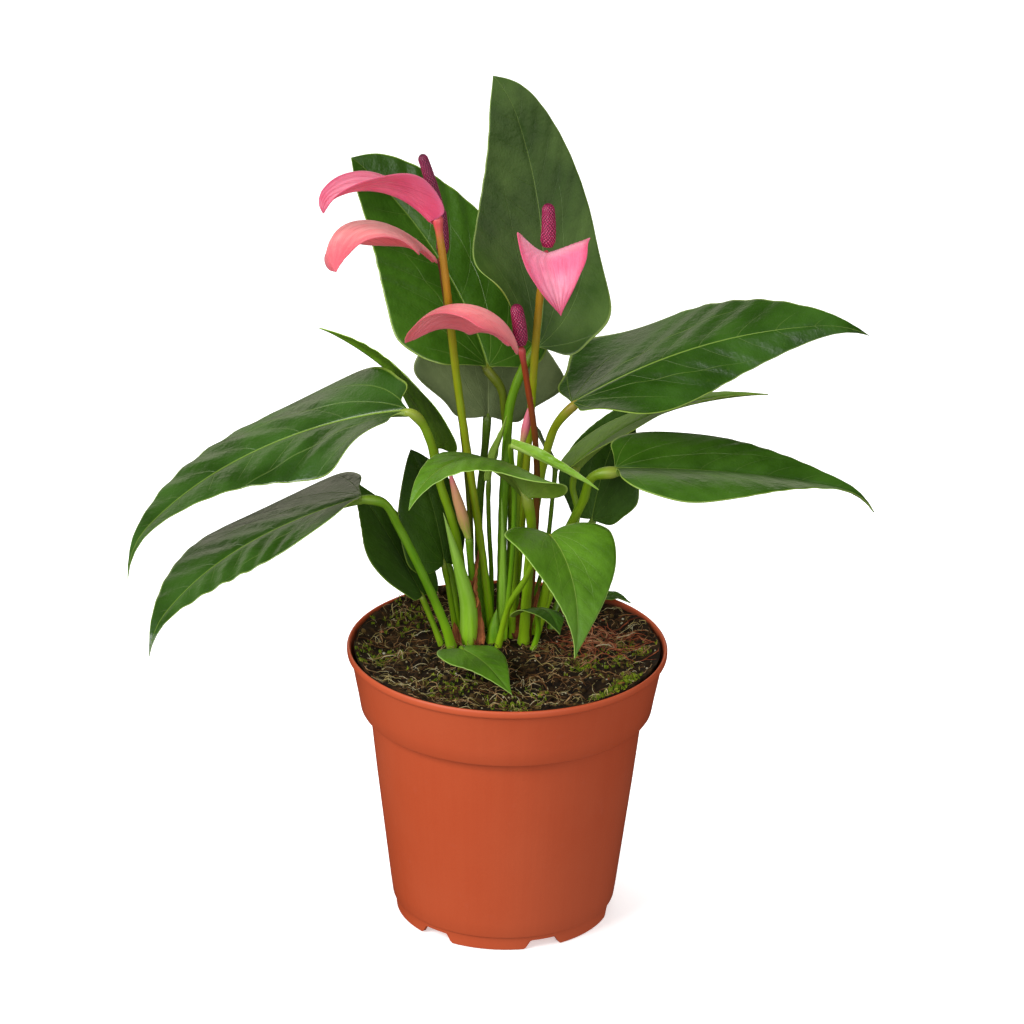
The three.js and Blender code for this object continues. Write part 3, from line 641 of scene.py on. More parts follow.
class MeshDraft:
    """Points, faces and stored numbers gathered for one object."""

    def __init__(self) -> None:
        """Starts an empty draft."""
        self.points: list[np.ndarray] = []
        self.faces: list[tuple[int, ...]] = []
        self.slots: list[int] = []
        self.fields: dict[str, list[np.ndarray]] = {}
        self.count = 0

    def store(self, points: np.ndarray, fields: dict[str, np.ndarray]) -> int:
        """Adds loose points with the numbers stored on them.

        Args:
            points: the places, one row each.
            fields: the numbers by name, one for each point.

        Returns:
            The index of the first new point.
        """
        first = self.count
        self.points.append(points)
        for name, values in fields.items():
            self.fields.setdefault(name, []).append(np.broadcast_to(values, len(points)).astype(float))
        self.count += len(points)
        return first

    def grid(
        self,
        points: np.ndarray,
        fields: dict[str, np.ndarray],
        slot: int = 0,
        closed: bool = False,
        flip: bool = False,
    ) -> int:
        """Adds a sheet of four-sided faces.

        Args:
            points: the places, as rows by columns by three.
            fields: the numbers by name, as rows by columns.
            slot: the material slot of the faces.
            closed: whether the last column joins the first.
            flip: whether the faces look the other way.

        Returns:
            The index of the first point.
        """
        rows, columns = points.shape[:2]
        flat_fields = {n: np.asarray(v, float).reshape(-1) for n, v in fields.items()}
        first = self.store(points.reshape(-1, 3), flat_fields)
        for i in range(rows - 1):
            for j in range(columns if closed else columns - 1):
                k = (j + 1) % columns
                face = [first + i * columns + j, first + i * columns + k]
                face += [first + (i + 1) * columns + k, first + (i + 1) * columns + j]
                self.face(face[::-1] if flip else face, slot)
        return first

    def face(self, corners: Sequence[int], slot: int = 0) -> None:
        """Adds one face."""
        self.faces.append(tuple(corners))
        self.slots.append(slot)

    def build(
        self, name: str, materials: Sequence[bpy.types.Material], sharp: float | None = None
    ) -> bpy.types.Object:
        """Makes the object, with points in one place joined.

        Args:
            name: the object's name.
            materials: one for each slot.
            sharp: the angle over which an edge stays sharp, or None.

        Returns:
            The object, in the scene.
        """
        mesh = bpy.data.meshes.new(name)
        mesh.from_pydata(np.concatenate(self.points).tolist(), [], self.faces)
        for field_name, values in self.fields.items():
            stored = mesh.attributes.new(field_name, "FLOAT", "POINT")
            stored.data.foreach_set("value", np.concatenate(values).astype(np.float32))
        mesh.polygons.foreach_set("material_index", self.slots)
        for material in materials:
            mesh.materials.append(material)
        shape = bmesh.new()
        shape.from_mesh(mesh)
        bmesh.ops.remove_doubles(shape, verts=shape.verts, dist=2e-6)
        bmesh.ops.dissolve_degenerate(shape, edges=shape.edges, dist=1e-6)
        shape.to_mesh(mesh)
        shape.free()
        mesh.shade_smooth()
        if sharp is not None:
            mesh.set_sharp_from_angle(angle=math.radians(sharp))
        made = bpy.data.objects.new(name, mesh)
        bpy.context.scene.collection.objects.link(made)
        return made


def enrol(piece: bpy.types.Object, slot: str, *nodes: str) -> None:
    """Hands a finished piece to the frame.

    Args:
        piece: the object.
        slot: the record's material slot; not used.
        nodes: the frame's nodes that it stands for.
    """
    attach(piece, "root")
    if nodes:
        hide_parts(*nodes)
    LOG.info("%s: %d faces, stands for %s", piece.name, len(piece.data.polygons), ", ".join(nodes) or "trim")


def smooth_route(points: Sequence[Point], spacing: float) -> np.ndarray:
    """Runs a smooth curve through points, with even steps.

    Args:
        points: the places it passes.
        spacing: the length of a step.

    Returns:
        Places along the curve, one row each.
    """
    known = np.array(points, float)
    known = np.vstack([2 * known[0] - known[1], known, 2 * known[-1] - known[-2]])
    knots = np.concatenate([[0.0], np.cumsum(np.sqrt(np.linalg.norm(np.diff(known, axis=0), axis=1)))])
    dense: list[np.ndarray] = []
    for i in range(1, len(known) - 2):
        a, b, c, d = known[i - 1 : i + 3]
        ta, tb, tc, td = knots[i - 1 : i + 3]
        t = np.linspace(tb, tc, 24, endpoint=i == len(known) - 3)[:, None]
        ab = (tb - t) / (tb - ta) * a + (t - ta) / (tb - ta) * b
        bc = (tc - t) / (tc - tb) * b + (t - tb) / (tc - tb) * c
        cd = (td - t) / (td - tc) * c + (t - tc) / (td - tc) * d
        abc = (tc - t) / (tc - ta) * ab + (t - ta) / (tc - ta) * bc
        bcd = (td - t) / (td - tb) * bc + (t - tb) / (td - tb) * cd
        dense.append((tc - t) / (tc - tb) * abc + (t - tb) / (tc - tb) * bcd)
    line = np.vstack(dense)
    run = np.concatenate([[0.0], np.cumsum(np.linalg.norm(np.diff(line, axis=0), axis=1))])
    even = np.linspace(0.0, run[-1], max(4, int(run[-1] / spacing)))
    return np.stack([np.interp(even, run, line[:, k]) for k in range(3)], axis=1)


def sweep(route: np.ndarray, radii: np.ndarray, sides: int, shape: np.ndarray | None = None) -> np.ndarray:
    """Carries a round section along a route without twisting it.

    Args:
        route: places along the middle.
        radii: the section's radius at each place.
        sides: points round the section.
        shape: a factor on the radius for each place and side, or None for a true circle.

    Returns:
        The surface's points, as places by sides by three.
    """
    tangents = np.gradient(route, axis=0)
    tangents /= np.linalg.norm(tangents, axis=1, keepdims=True) + 1e-12
    side = np.cross(tangents[0], (0.0, -1.0, 0.05))
    rings = []
    angles = np.linspace(0, math.tau, sides, endpoint=False)
    for i, (place, tangent) in enumerate(zip(route, tangents)):
        side = side - tangent * np.dot(side, tangent)
        side = side / (np.linalg.norm(side) + 1e-12)
        other = np.cross(tangent, side)
        reach = radii[i] * (shape[i] if shape is not None else np.ones(sides))
        spoke = np.cos(angles)[:, None] * side + np.sin(angles)[:, None] * other
        rings.append(place + reach[:, None] * spoke)
    return np.array(rings)


# ------------------------------------------------------------------ blades


@dataclass(frozen=True)
class BladeForm:
    """The form of a leaf or a spathe.

    A blade starts at a place, heads off at a compass angle (0 is +X, 90 is +Y) and rises or falls at a
    slope. Along its length it droops, sweeps to its left and twists, and roll lifts its right side at
    the start. Each half folds up from the midrib, cup bends it further towards the margin, and lift
    raises the part beside the joint. Hook curls the tip, and the rest shape the outline.
    """

    at: Point
    length: float
    width: float
    heading: float
    rise: float
    droop: float = 0.0
    sweep: float = 0.0
    roll: float = 0.0
    twist: float = 0.0
    fold: float = 0.0
    cup: float = 0.0
    lift: float = 0.0
    lobe: float = 0.0
    widest: float = 0.3
    shoulder: float = 0.94
    skew: float = 0.0
    taper: float = 1.0
    hook: float = 0.0


class Blade:
    """The bent surface of one blade and the mesh laid on it."""

    STEPS: ClassVar[int] = 24
    HOOK_STEPS: ClassVar[int] = 4

    def __init__(self, form: BladeForm) -> None:
        """Runs the midrib from the joint to the tip."""
        self.form = form
        turn = Matrix.Rotation(math.radians(form.heading - 90), 3, "Z")
        turn = turn @ Matrix.Rotation(math.radians(form.rise), 3, "X")
        turn = turn @ Matrix.Rotation(-math.radians(form.roll), 3, "Y")
        place = Vector(form.at)
        self.places, self.frames = [np.array(place)], [np.array(turn)]
        for i in range(self.STEPS):
            curl = form.hook / self.HOOK_STEPS if i >= self.STEPS - self.HOOK_STEPS else 0.0
            bend = Vector(
                (-form.droop / self.STEPS - curl, -form.twist / self.STEPS, form.sweep / self.STEPS)
            )
            angle = math.radians(bend.length)
            axis = bend.normalized() if angle else Vector((1, 0, 0))
            stride = Vector((0, form.length / self.STEPS, 0))
            place = place + turn @ Matrix.Rotation(angle / 2, 3, axis) @ stride
            turn = turn @ Matrix.Rotation(angle, 3, axis)
            self.places.append(np.array(place))
            self.frames.append(np.array(turn))
        self.place_rows, self.frame_rows = np.array(self.places), np.array(self.frames)

    def margin(self, shares: np.ndarray) -> tuple[np.ndarray, np.ndarray]:
        """Follows the outline from the joint round the lobe to the tip.

        Args:
            shares: how far along the outline, from 0 to 1.

        Returns:
            The place along the length and the share of the half width, for each.
        """
        f = self.form
        rest = 1 - f.widest
        known = np.array(
            [
                (0, 0),
                (-f.lobe, 0.32 * f.shoulder),
                (-0.8 * f.lobe, 0.7 * f.shoulder),
                (0.3 * f.widest, f.shoulder),
                (f.widest, 1),
                (f.widest + 0.26 * rest, 0.86**f.taper),
                (f.widest + 0.51 * rest, 0.58**f.taper),
                (f.widest + 0.74 * rest, 0.28**f.taper),
                (f.widest + 0.9 * rest, 0.09**f.taper),
                (1, 0),
            ]
        )
        last = len(known) - 1
        spot = np.clip(shares, 0, 1) * last
        i = np.minimum(spot.astype(int), last - 1)
        t = (spot - i)[..., None]
        before = known[np.where(i == 0, i, i - 1)]
        after = known[np.where(i > last - 2, last, np.minimum(i + 2, last))]
        a, b = known[i], known[np.minimum(i + 1, last)]
        lead, trail = (b - before) / 2, (after - a) / 2
        cubic, square = 2 * a - 2 * b + lead + trail, 3 * b - 3 * a - 2 * lead - trail
        point = cubic * t**3 + square * t**2 + lead * t + a
        return point[..., 0], np.maximum(point[..., 1], 0)

    def surface(self, along: np.ndarray, across: np.ndarray) -> np.ndarray:
        """Finds places on the bent surface.

        Args:
            along: the share of the length.
            across: the signed share of the half width.

        Returns:
            The places, with a last axis of three.
        """
        f = self.form
        w = across * (1 + f.skew * np.sign(across))
        half = f.width / 2
        near = np.clip(1 - along / 0.4, 0, 1.3)
        fold = math.radians(f.fold)
        x = w * half * math.cos(fold)
        y = np.minimum(along, 0) * f.length
        z = np.abs(w) * half * math.sin(fold) + (f.cup + f.lift * near**2) * half * w**2
        station = np.clip(along, 0, 1) * self.STEPS
        i = np.minimum(station.astype(int), self.STEPS - 1)
        t = station - i
        base = self.place_rows[i] * (1 - t)[..., None] + self.place_rows[i + 1] * t[..., None]
        turn = self.frame_rows[i] * (1 - t)[..., None, None] + self.frame_rows[i + 1] * t[..., None, None]
        return base + np.einsum("...ij,...j->...i", turn, np.stack([x, y, z], axis=-1))

    def normals(self, along: np.ndarray, across: np.ndarray) -> np.ndarray:
        """Finds the direction off the face at each place."""
        step = 1e-3
        to_side = self.surface(along, across + step) - self.surface(along, across - step)
        to_tip = self.surface(along + step, across) - self.surface(along - step, across)
        off = np.cross(to_side, to_tip)
        return off / (np.linalg.norm(off, axis=-1, keepdims=True) + 1e-15)

    def under_rib(self, share: float, depth: float) -> Point:
        """Gives a place under the midrib, at a share of the length and a depth below the face."""
        along, across = np.array(share), np.array(0.0)
        return tuple(self.surface(along, across) - depth * self.normals(along, across))


@dataclass(frozen=True)
class Relief:
    """The small shapes on a blade's face."""

    pairs: float = 8.0
    pleat: float = 0.0002
    rib_depth: float = 0.0005
    rib_width: float = 0.0011
    ripple: float = 0.0004
    thickness: float = 0.00042
    keel: float = 0.0008
    grooves: int = 0


class BladeMesh:
    """Lays a closed thin shell on a blade."""

    def __init__(
        self,
        form: BladeForm,
        relief: Relief,
        rows: int = 96,
        columns: int = 40,
        seed: int = 1,
        root: float = 0.0,
    ) -> None:
        """Sets up the blade, how finely it is covered, and how thick its midrib starts."""
        self.blade = Blade(form)
        self.form, self.relief, self.root = form, relief, root
        self.rows, self.columns = rows, columns
        self.phases = np.random.default_rng(seed).uniform(0, math.tau, 8)

    def heights(self, along: np.ndarray, across: np.ndarray) -> np.ndarray:
        """Shapes the pleats between the veins, the sunken midrib and the rippled margin.

        Args:
            along: the share of the length.
            across: the signed share of the half width.

        Returns:
            The height off the smooth surface.
        """
        f, r, p = self.form, self.relief, self.phases
        span = np.abs(across)
        away = span * f.width / 2 / f.length
        phase = (along - away * (0.75 + 0.6 * span)) * r.pairs
        pleats = -np.cos(math.tau * (phase - 0.5)) * smooth_step(span, 0.03, 0.3)
        pleats *= smooth_step(span, 1.0, 0.7)
        pleats *= smooth_step(phase, 0.3, 1.2) * smooth_step(along, 0.97, 0.75)
        uneven = 0.65 + 0.35 * np.sin(5.1 * along + p[0]) * np.sin(2.7 * across + p[1])
        rib = np.exp(-((away * f.length / r.rib_width) ** 2)) * smooth_step(along, 1.0, 0.7)
        side = np.where(across > 0, p[2], p[3])
        wave = np.sin(9.0 * along + side) + 0.6 * np.sin(17.0 * along + 2 * side)
        slow = np.sin(4.3 * along + 2.2 * across + p[4]) * np.sin(3.1 * across - 2.0 * along + p[5])
        ripple = r.ripple * (span**3 * wave + 0.9 * slow) * smooth_step(along, 1.0, 0.85)
        groove = 0.0
        if r.grooves:
            fan = across / (0.15 + self.blade.margin(np.clip(along, 0.05, 0.95))[1])
            groove = 0.00012 * np.cos(math.tau * r.grooves * fan / 2) * smooth_step(span, 1.0, 0.8)
        return r.pleat * pleats * uneven - r.rib_depth * rib + ripple + groove

    def build(self, name: str, face: Finish, back: Finish) -> bpy.types.Object:
        """Makes the shell.

        Args:
            name: the object's name.
            face: the finish of the upper side and the margin.
            back: the finish of the underside.

        Returns:
            The object.
        """
        f, r = self.form, self.relief
        shares = np.linspace(0, 1, self.rows + 1)[:, None] * np.ones(self.columns + 1)
        lean = np.linspace(-1, 1, self.columns + 1)[None, :] * np.ones((self.rows + 1, 1))
        edge_along, edge_span = self.blade.margin(shares)
        middle = shares**1.5
        along = middle + (edge_along - middle) * lean**2
        across = edge_span * lean
        normals = self.blade.normals(along, across)
        top = self.blade.surface(along, across) + normals * self.heights(along, across)[..., None]
        away = np.abs(across) * f.width / 2
        near = np.exp(-np.clip(along, 0, 1) / 0.14)
        keel = r.keel * np.clip(1 - along, 0, 1) ** 0.6 + self.root * near
        keel = keel * np.exp(-((away / (0.0011 + 0.7 * self.root * near)) ** 2))
        keel = keel * smooth_step(along, -0.03, 0.01)
        depth = r.thickness * (1 - 0.5 * np.abs(lean) ** 4) + keel
        under = top - normals * depth[..., None]
        fields = {"along": along, "across": across * f.width / 2 / f.length, "span": np.abs(lean)}
        draft = MeshDraft()
        a = draft.grid(top, fields)
        b = draft.grid(under, fields, slot=1, flip=True)
        stride = self.columns + 1
        for i in range(self.rows):
            low, high = i * stride, (i + 1) * stride
            draft.face((a + low, a + high, b + high, b + low))
            far = self.columns
            draft.face((a + high + far, a + low + far, b + low + far, b + high + far))
        return draft.build(name, (face.material(), back.material()))


# ------------------------------------------------------------------ soil


@dataclass
class Soil:
    """Peat with fibres, shreds, crumbs, moss and pale specks, filling the pot."""

    radius: float = 0.0574
    floor: float = 0.0062
    level: float = 0.1034
    crown: float = 0.0012
    crown_radius: float = 0.045
    bank: float = 0.003
    bank_from: float = 0.048
    bank_width: float = 0.0094
    edge: float = 0.985
    foot_radius: float = 0.0402
    neck_radius: float = 0.0498
    rings: int = 110
    sectors: int = 260
    seed: int = 7
    rng: random.Random = field(init=False)

    MOUNDS: ClassVar[tuple[tuple[float, float, float, float], ...]] = (
        (0.0026, -0.030, 0.034, 0.018),
        (0.0012, 0.042, -0.026, 0.012),
        (-0.0012, 0.030, 0.036, 0.014),
    )  # height, x, y, spread

    def __post_init__(self) -> None:
        """Seeds the scatter."""
        self.rng = random.Random(self.seed)

    def height(self, x: float, y: float) -> float:
        """Gives the soil's height at a place.

        Args:
            x: the place to the right.
            y: the place to the back.

        Returns:
            The height above the ground.
        """
        radius = math.hypot(x, y)
        mound = self.crown * max(0.0, 1 - (radius / self.crown_radius) ** 2)
        mound += self.bank * max(0.0, (radius - self.bank_from) / self.bank_width)
        for height, x0, y0, spread in self.MOUNDS:
            mound += height * math.exp(-((x - x0) ** 2 + (y - y0) ** 2) / spread**2)
        clods = 0.0014 * noise.noise(Vector((x, y, 0.2)) * 90)
        clods += 0.0009 * abs(noise.noise(Vector((x, y, 1.7)) * 240))
        clods += 0.0004 * noise.noise(Vector((x, y, 3.1)) * 620)
        return self.level + mound + clods

    def build_bed(self) -> None:
        """Makes the peat itself, closed below."""
        radii = self.radius * np.linspace(0, 1, self.rings) ** 0.8
        angles = np.linspace(0, math.tau, self.sectors, endpoint=False)
        points = np.zeros((self.rings + 4, self.sectors, 3))
        tones = np.zeros((self.rings + 4, self.sectors))
        for i, radius in enumerate(radii):
            for j, angle in enumerate(angles):
                x, y = radius * math.cos(angle), radius * math.sin(angle)
                points[i, j] = (x, y, self.height(x, y))
                tones[i, j] = 0.5 + 0.5 * noise.noise(Vector((x, y, 5.0)) * 160)
        below = (
            (self.radius - 0.0020, 0.0985),
            (self.neck_radius, 0.0842),
            (self.foot_radius, self.floor),
            (0.0, self.floor),
        )
        for row, (radius, height) in enumerate(below, start=self.rings):
            points[row, :, 0], points[row, :, 1] = radius * np.cos(angles), radius * np.sin(angles)
            points[row, :, 2] = height
        draft = MeshDraft()
        draft.grid(points, {"tone": tones}, closed=True)
        enrol(draft.build("soil_bed", (EarthLook.PEAT.value.material(),)), "potting_soil", "soil")

    def spot(self, reach: float = 0.985) -> tuple[float, float]:
        """Picks a place on the soil at random."""
        radius = self.radius * reach * math.sqrt(self.rng.random())
        angle = self.rng.uniform(0, math.tau)
        return radius * math.cos(angle), radius * math.sin(angle)

    def strand(
        self, start: tuple[float, float], length: float, angle: float, curl: float, lift: float
    ) -> np.ndarray:
        """Lays a wandering strand over the soil.

        Args:
            start: where it begins.
            length: how long it is.
            angle: the way it sets off, in radians.
            curl: how much it wanders.
            lift: how far its middle stands off the soil.

        Returns:
            Places along it.
        """
        steps = 11
        x, y = start
        places = []
        for i in range(steps):
            radius = math.hypot(x, y)
            if radius > self.radius * self.edge:
                x, y = x * self.radius * self.edge / radius, y * self.radius * self.edge / radius
            hump = lift * math.sin(math.pi * i / (steps - 1))
            places.append((x, y, self.height(x, y) + 0.0002 + hump))
            angle += self.rng.gauss(0, curl)
            x += math.cos(angle) * length / steps
            y += math.sin(angle) * length / steps
        return smooth_route(places, length / 22)

    def build_strands(self, name: str, look: EarthLook, count: int, thickness: tuple[float, float],
                      length: tuple[float, float], curl: float, centre: Point | None = None) -> None:
        """Scatters strands as one object.

        Args:
            name: the object's name.
            look: what they are made of.
            count: how many.
            thickness: least and greatest radius.
            length: least and greatest length.
            curl: how much each wanders.
            centre: a patch's x, y and radius, or None for the whole bed.
        """
        draft = MeshDraft()
        for _ in range(count):
            if centre:
                start = tuple(centre[k] + self.rng.gauss(0, centre[2] / 2) for k in (0, 1))
            else:
                start = self.spot()
            lift = abs(self.rng.gauss(0, 0.0012))
            route = self.strand(start, self.rng.uniform(*length), self.rng.uniform(0, math.tau), curl, lift)
            thick = self.rng.uniform(*thickness) * self.rng.uniform(0.6, 1.0)
            radii = thick * np.sin(np.linspace(0.05, math.pi - 0.05, len(route))) ** 0.4
            radii[0] = radii[-1] = 0
            points = sweep(route, radii, 6)
            draft.grid(points, {"tone": np.full(points.shape[:2], self.rng.random())}, closed=True)
        enrol(draft.build(name, (look.value.material(),)), "potting_soil")

    def build_crumbs(self, name: str, look: EarthLook, count: int, size: tuple[float, float],
                     flat: float = 1.0) -> None:
        """Scatters rough lumps as one object.

        Args:
            name: the object's name.
            look: what they are made of.
            count: how many.
            size: least and greatest radius.
            flat: how flat they lie.
        """
        ball = bmesh.new()
        bmesh.ops.create_icosphere(ball, subdivisions=2, radius=1.0)
        corners = np.array([v.co for v in ball.verts])
        faces = [[v.index for v in f.verts] for f in ball.faces]
        ball.free()
        draft = MeshDraft()
        for _ in range(count):
            x, y = self.spot(0.97)
            radius = self.rng.uniform(*size)
            shift = Vector((x, y, 0)) * 900
            rough = np.array([1 + 0.35 * noise.noise(Vector(c) * 1.7 + shift) for c in corners])
            turn = np.array(Matrix.Rotation(self.rng.uniform(0, math.tau), 3, "Z"))
            stretch = np.array((self.rng.uniform(0.7, 1.4), self.rng.uniform(0.7, 1.1), flat))
            lump = (corners * rough[:, None] * stretch * radius) @ turn.T
            lump += (x, y, self.height(x, y) + radius * 0.2 * flat)
            first = draft.store(lump, {"tone": np.full(len(lump), self.rng.random())})
            for face in faces:
                draft.face([first + k for k in face])
        enrol(draft.build(name, (look.value.material(),)), "potting_soil")

    def build_moss(self) -> None:
        """Grows tufts of moss in patches and along the rim at the front right."""
        patches = [
            (-0.036, 0.026, 0.012),
            (-0.047, -0.006, 0.010),
            (0.030, -0.010, 0.012),
            (-0.020, -0.030, 0.012),
            (0.045, 0.002, 0.009),
            (0.004, -0.046, 0.010),
        ]
        edge = 0.0535
        for a in np.radians((40, 45, 50, 55, 60)):
            patches.append((edge * math.sin(a), -edge * math.cos(a), 0.003))
        draft = MeshDraft()
        for x0, y0, spread in patches:
            for _ in range(int(14 + spread * 4200)):
                x, y = x0 + self.rng.gauss(0, spread / 2), y0 + self.rng.gauss(0, spread / 2)
                radius = math.hypot(x, y)
                if radius > self.radius * 0.98:
                    x, y = x * self.radius * 0.98 / radius, y * self.radius * 0.98 / radius
                self.tuft(draft, x, y)
        enrol(draft.build("soil_moss", (EarthLook.MOSS.value.material(),)), "potting_soil")

    def tuft(self, draft: MeshDraft, x: float, y: float) -> None:
        """Adds one tuft of short pointed shoots to a draft."""
        for _ in range(5):
            lean = self.rng.uniform(0, math.tau)
            reach, tall = self.rng.uniform(0.0003, 0.001), self.rng.uniform(0.0006, 0.0017)
            foot = (x + self.rng.gauss(0, 0.0004), y + self.rng.gauss(0, 0.0004))
            base = self.height(*foot) - 0.0003
            tip = (foot[0] + reach * math.cos(lean), foot[1] + reach * math.sin(lean), base + tall)
            middle = tuple((a + b) / 2 for a, b in zip((*foot, base + tall * 0.3), tip))
            route = np.array([(*foot, base), middle, tip])
            points = sweep(route, np.array([0.00022, 0.0002, 0.0]), 4)
            draft.grid(points, {"tone": np.full(points.shape[:2], self.rng.random())}, closed=True)

    def build(self) -> None:
        """Makes the bed and everything that lies on it."""
        self.build_bed()
        self.build_crumbs("soil_crumbs", EarthLook.CRUMB, 900, (0.0003, 0.0011))
        self.build_crumbs("soil_specks", EarthLook.SPECK, 420, (0.00015, 0.00042))
        self.build_crumbs("soil_bark", EarthLook.SHRED, 12, (0.0008, 0.0015), 0.35)
        self.build_strands("soil_fibres", EarthLook.FIBRE, 720, (0.00006, 0.00017), (0.004, 0.016), 0.45)
        self.build_strands("soil_straws", EarthLook.STRAW, 420, (0.00006, 0.00016), (0.003, 0.011), 0.22)
        self.build_strands("soil_roots", EarthLook.FIBRE, 14, (0.0002, 0.0004), (0.012, 0.026), 0.35)
        reddish = (0.034, 0.010, 0.014)
        self.build_strands(
            "soil_shreds", EarthLook.SHRED, 130, (0.0001, 0.0003), (0.008, 0.018), 0.25, reddish
        )
        self.build_moss()


# ------------------------------------------------------------------ pot


@dataclass
class Pot:
    """A thin moulded nursery pot with a collar, a lip and a notched foot ring."""

    sectors: int = 288
    notches: int = 6
    first_notch: float = 22.0
    notch_half_angle: float = 10.0
    notch_height: float = 0.0036
    notch_slope: float = 3.2
    drains: int = 6
    drain_radius: float = 0.004
    drain_circle: float = 0.027

    PROFILE: ClassVar[tuple[tuple[float, float], ...]] = (
        (0.0, 0.0042),
        (0.0200, 0.0042),
        (0.0390, 0.0042),
        (0.03925, 0.0040),
        (0.0393, 0.0030),
        (0.0393, 0.0002),
        (0.0395, 0.0),
        (0.0405, 0.0),
        (0.04072, 0.0002),
        (0.0409, 0.0028),
        (0.0411, 0.0050),
        (0.04122, 0.00535),
        (0.0415, 0.0056),
        (0.0420, 0.0058),
        (0.0422, 0.0063),
        (0.0430, 0.0120),
        (0.0457, 0.0340),
        (0.0485, 0.0570),
        (0.0509, 0.0785),
        (0.0513, 0.0822),
        (0.0515, 0.0827),
        (0.0519, 0.08292),
        (0.0538, 0.083),
        (0.05445, 0.0832),
        (0.05475, 0.0837),
        (0.0557, 0.0892),
        (0.0571, 0.0965),
        (0.0584, 0.1036),
        (0.05862, 0.1044),
        (0.0591, 0.10463),
        (0.0596, 0.1047),
        (0.0599, 0.1050),
        (0.06, 0.1055),
        (0.06, 0.1067),
        (0.0598, 0.1072),
        (0.0596, 0.10745),
        (0.0592, 0.1075),
        (0.0589, 0.1073),
        (0.0587, 0.1068),
        (0.0581, 0.1044),
        (0.0560, 0.0970),
        (0.0537, 0.0850),
        (0.0530, 0.0843),
        (0.0503, 0.0839),
        (0.0500, 0.0830),
        (0.0408, 0.0062),
        (0.0403, 0.0058),
        (0.0200, 0.0058),
        (0.0, 0.0058),
    )
    INSIDE_FROM: ClassVar[int] = 37

    def notch(self, angle: float) -> float:
        """Gives how high the foot ring is cut away at an angle.

        Args:
            angle: degrees from the front towards the right.

        Returns:
            The cut's height.
        """
        pitch = 360 / self.notches
        off = abs((angle - self.first_notch + pitch / 2) % pitch - pitch / 2)
        ramp = (self.notch_half_angle - off) / self.notch_slope
        return self.notch_height * min(1.0, max(0.0, ramp))

    def build(self) -> None:
        """Makes the pot and bores its drain holes."""
        profile = self.refined_profile()
        angles = np.linspace(0, math.tau, self.sectors, endpoint=False)
        cuts = np.array([self.notch(math.degrees(a)) for a in angles])
        points = np.zeros((len(profile), self.sectors, 3))
        points[..., 0] = profile[:, 0:1] * np.sin(angles)
        points[..., 1] = -profile[:, 0:1] * np.cos(angles)
        points[..., 2] = profile[:, 1:2]
        ring = (profile[:, 0] > 0.0391) & (profile[:, 1] < 0.0041)
        points[ring, :, 2] = np.maximum(points[ring, :, 2], cuts)
        inside = np.broadcast_to(profile[:, 2:3], points.shape[:2])
        draft = MeshDraft()
        draft.grid(points, {"inside": inside}, closed=True)
        pot = draft.build("pot_shell", (POT_PLASTIC.material(),), sharp=38)
        self.bore(pot)
        enrol(pot, "pot_plastic", "pot")

    def refined_profile(self) -> np.ndarray:
        """Splits the profile's long runs, and marks its inner side.

        Returns:
            Radius, height and inside mark, one row each.
        """
        rows = []
        marked = [(r, z, float(i >= self.INSIDE_FROM)) for i, (r, z) in enumerate(self.PROFILE)]
        for a, b in zip(marked, marked[1:]):
            parts = max(1, int(math.dist(a[:2], b[:2]) / 0.006))
            rows += [tuple(p + (q - p) * k / parts for p, q in zip(a, b)) for k in range(parts)]
        return np.array(rows + [marked[-1]])

    def bore(self, pot: bpy.types.Object) -> None:
        """Cuts the drain holes through the floor."""
        cutter = bmesh.new()
        for i in range(self.drains):
            angle = math.tau * i / self.drains
            place = Vector((self.drain_circle * math.sin(angle), -self.drain_circle * math.cos(angle), 0.005))
            bmesh.ops.create_cone(
                cutter, cap_ends=True, segments=32, radius1=self.drain_radius, radius2=self.drain_radius,
                depth=0.004, matrix=Matrix.Translation(place),
            )
        mesh = bpy.data.meshes.new("drain_cutter")
        cutter.to_mesh(mesh)
        cutter.free()
        tool = bpy.data.objects.new("drain_cutter", mesh)
        bpy.context.scene.collection.objects.link(tool)
        cut = pot.modifiers.new("drains", "BOOLEAN")
        cut.operation, cut.solver, cut.object = "DIFFERENCE", "EXACT", tool
        bpy.context.view_layer.update()
        solid = bpy.data.meshes.new_from_object(pot.evaluated_get(bpy.context.evaluated_depsgraph_get()))
        pot.modifiers.clear()
        pot.data = solid
        bpy.data.objects.remove(tool)


# ------------------------------------------------------------------ stalks


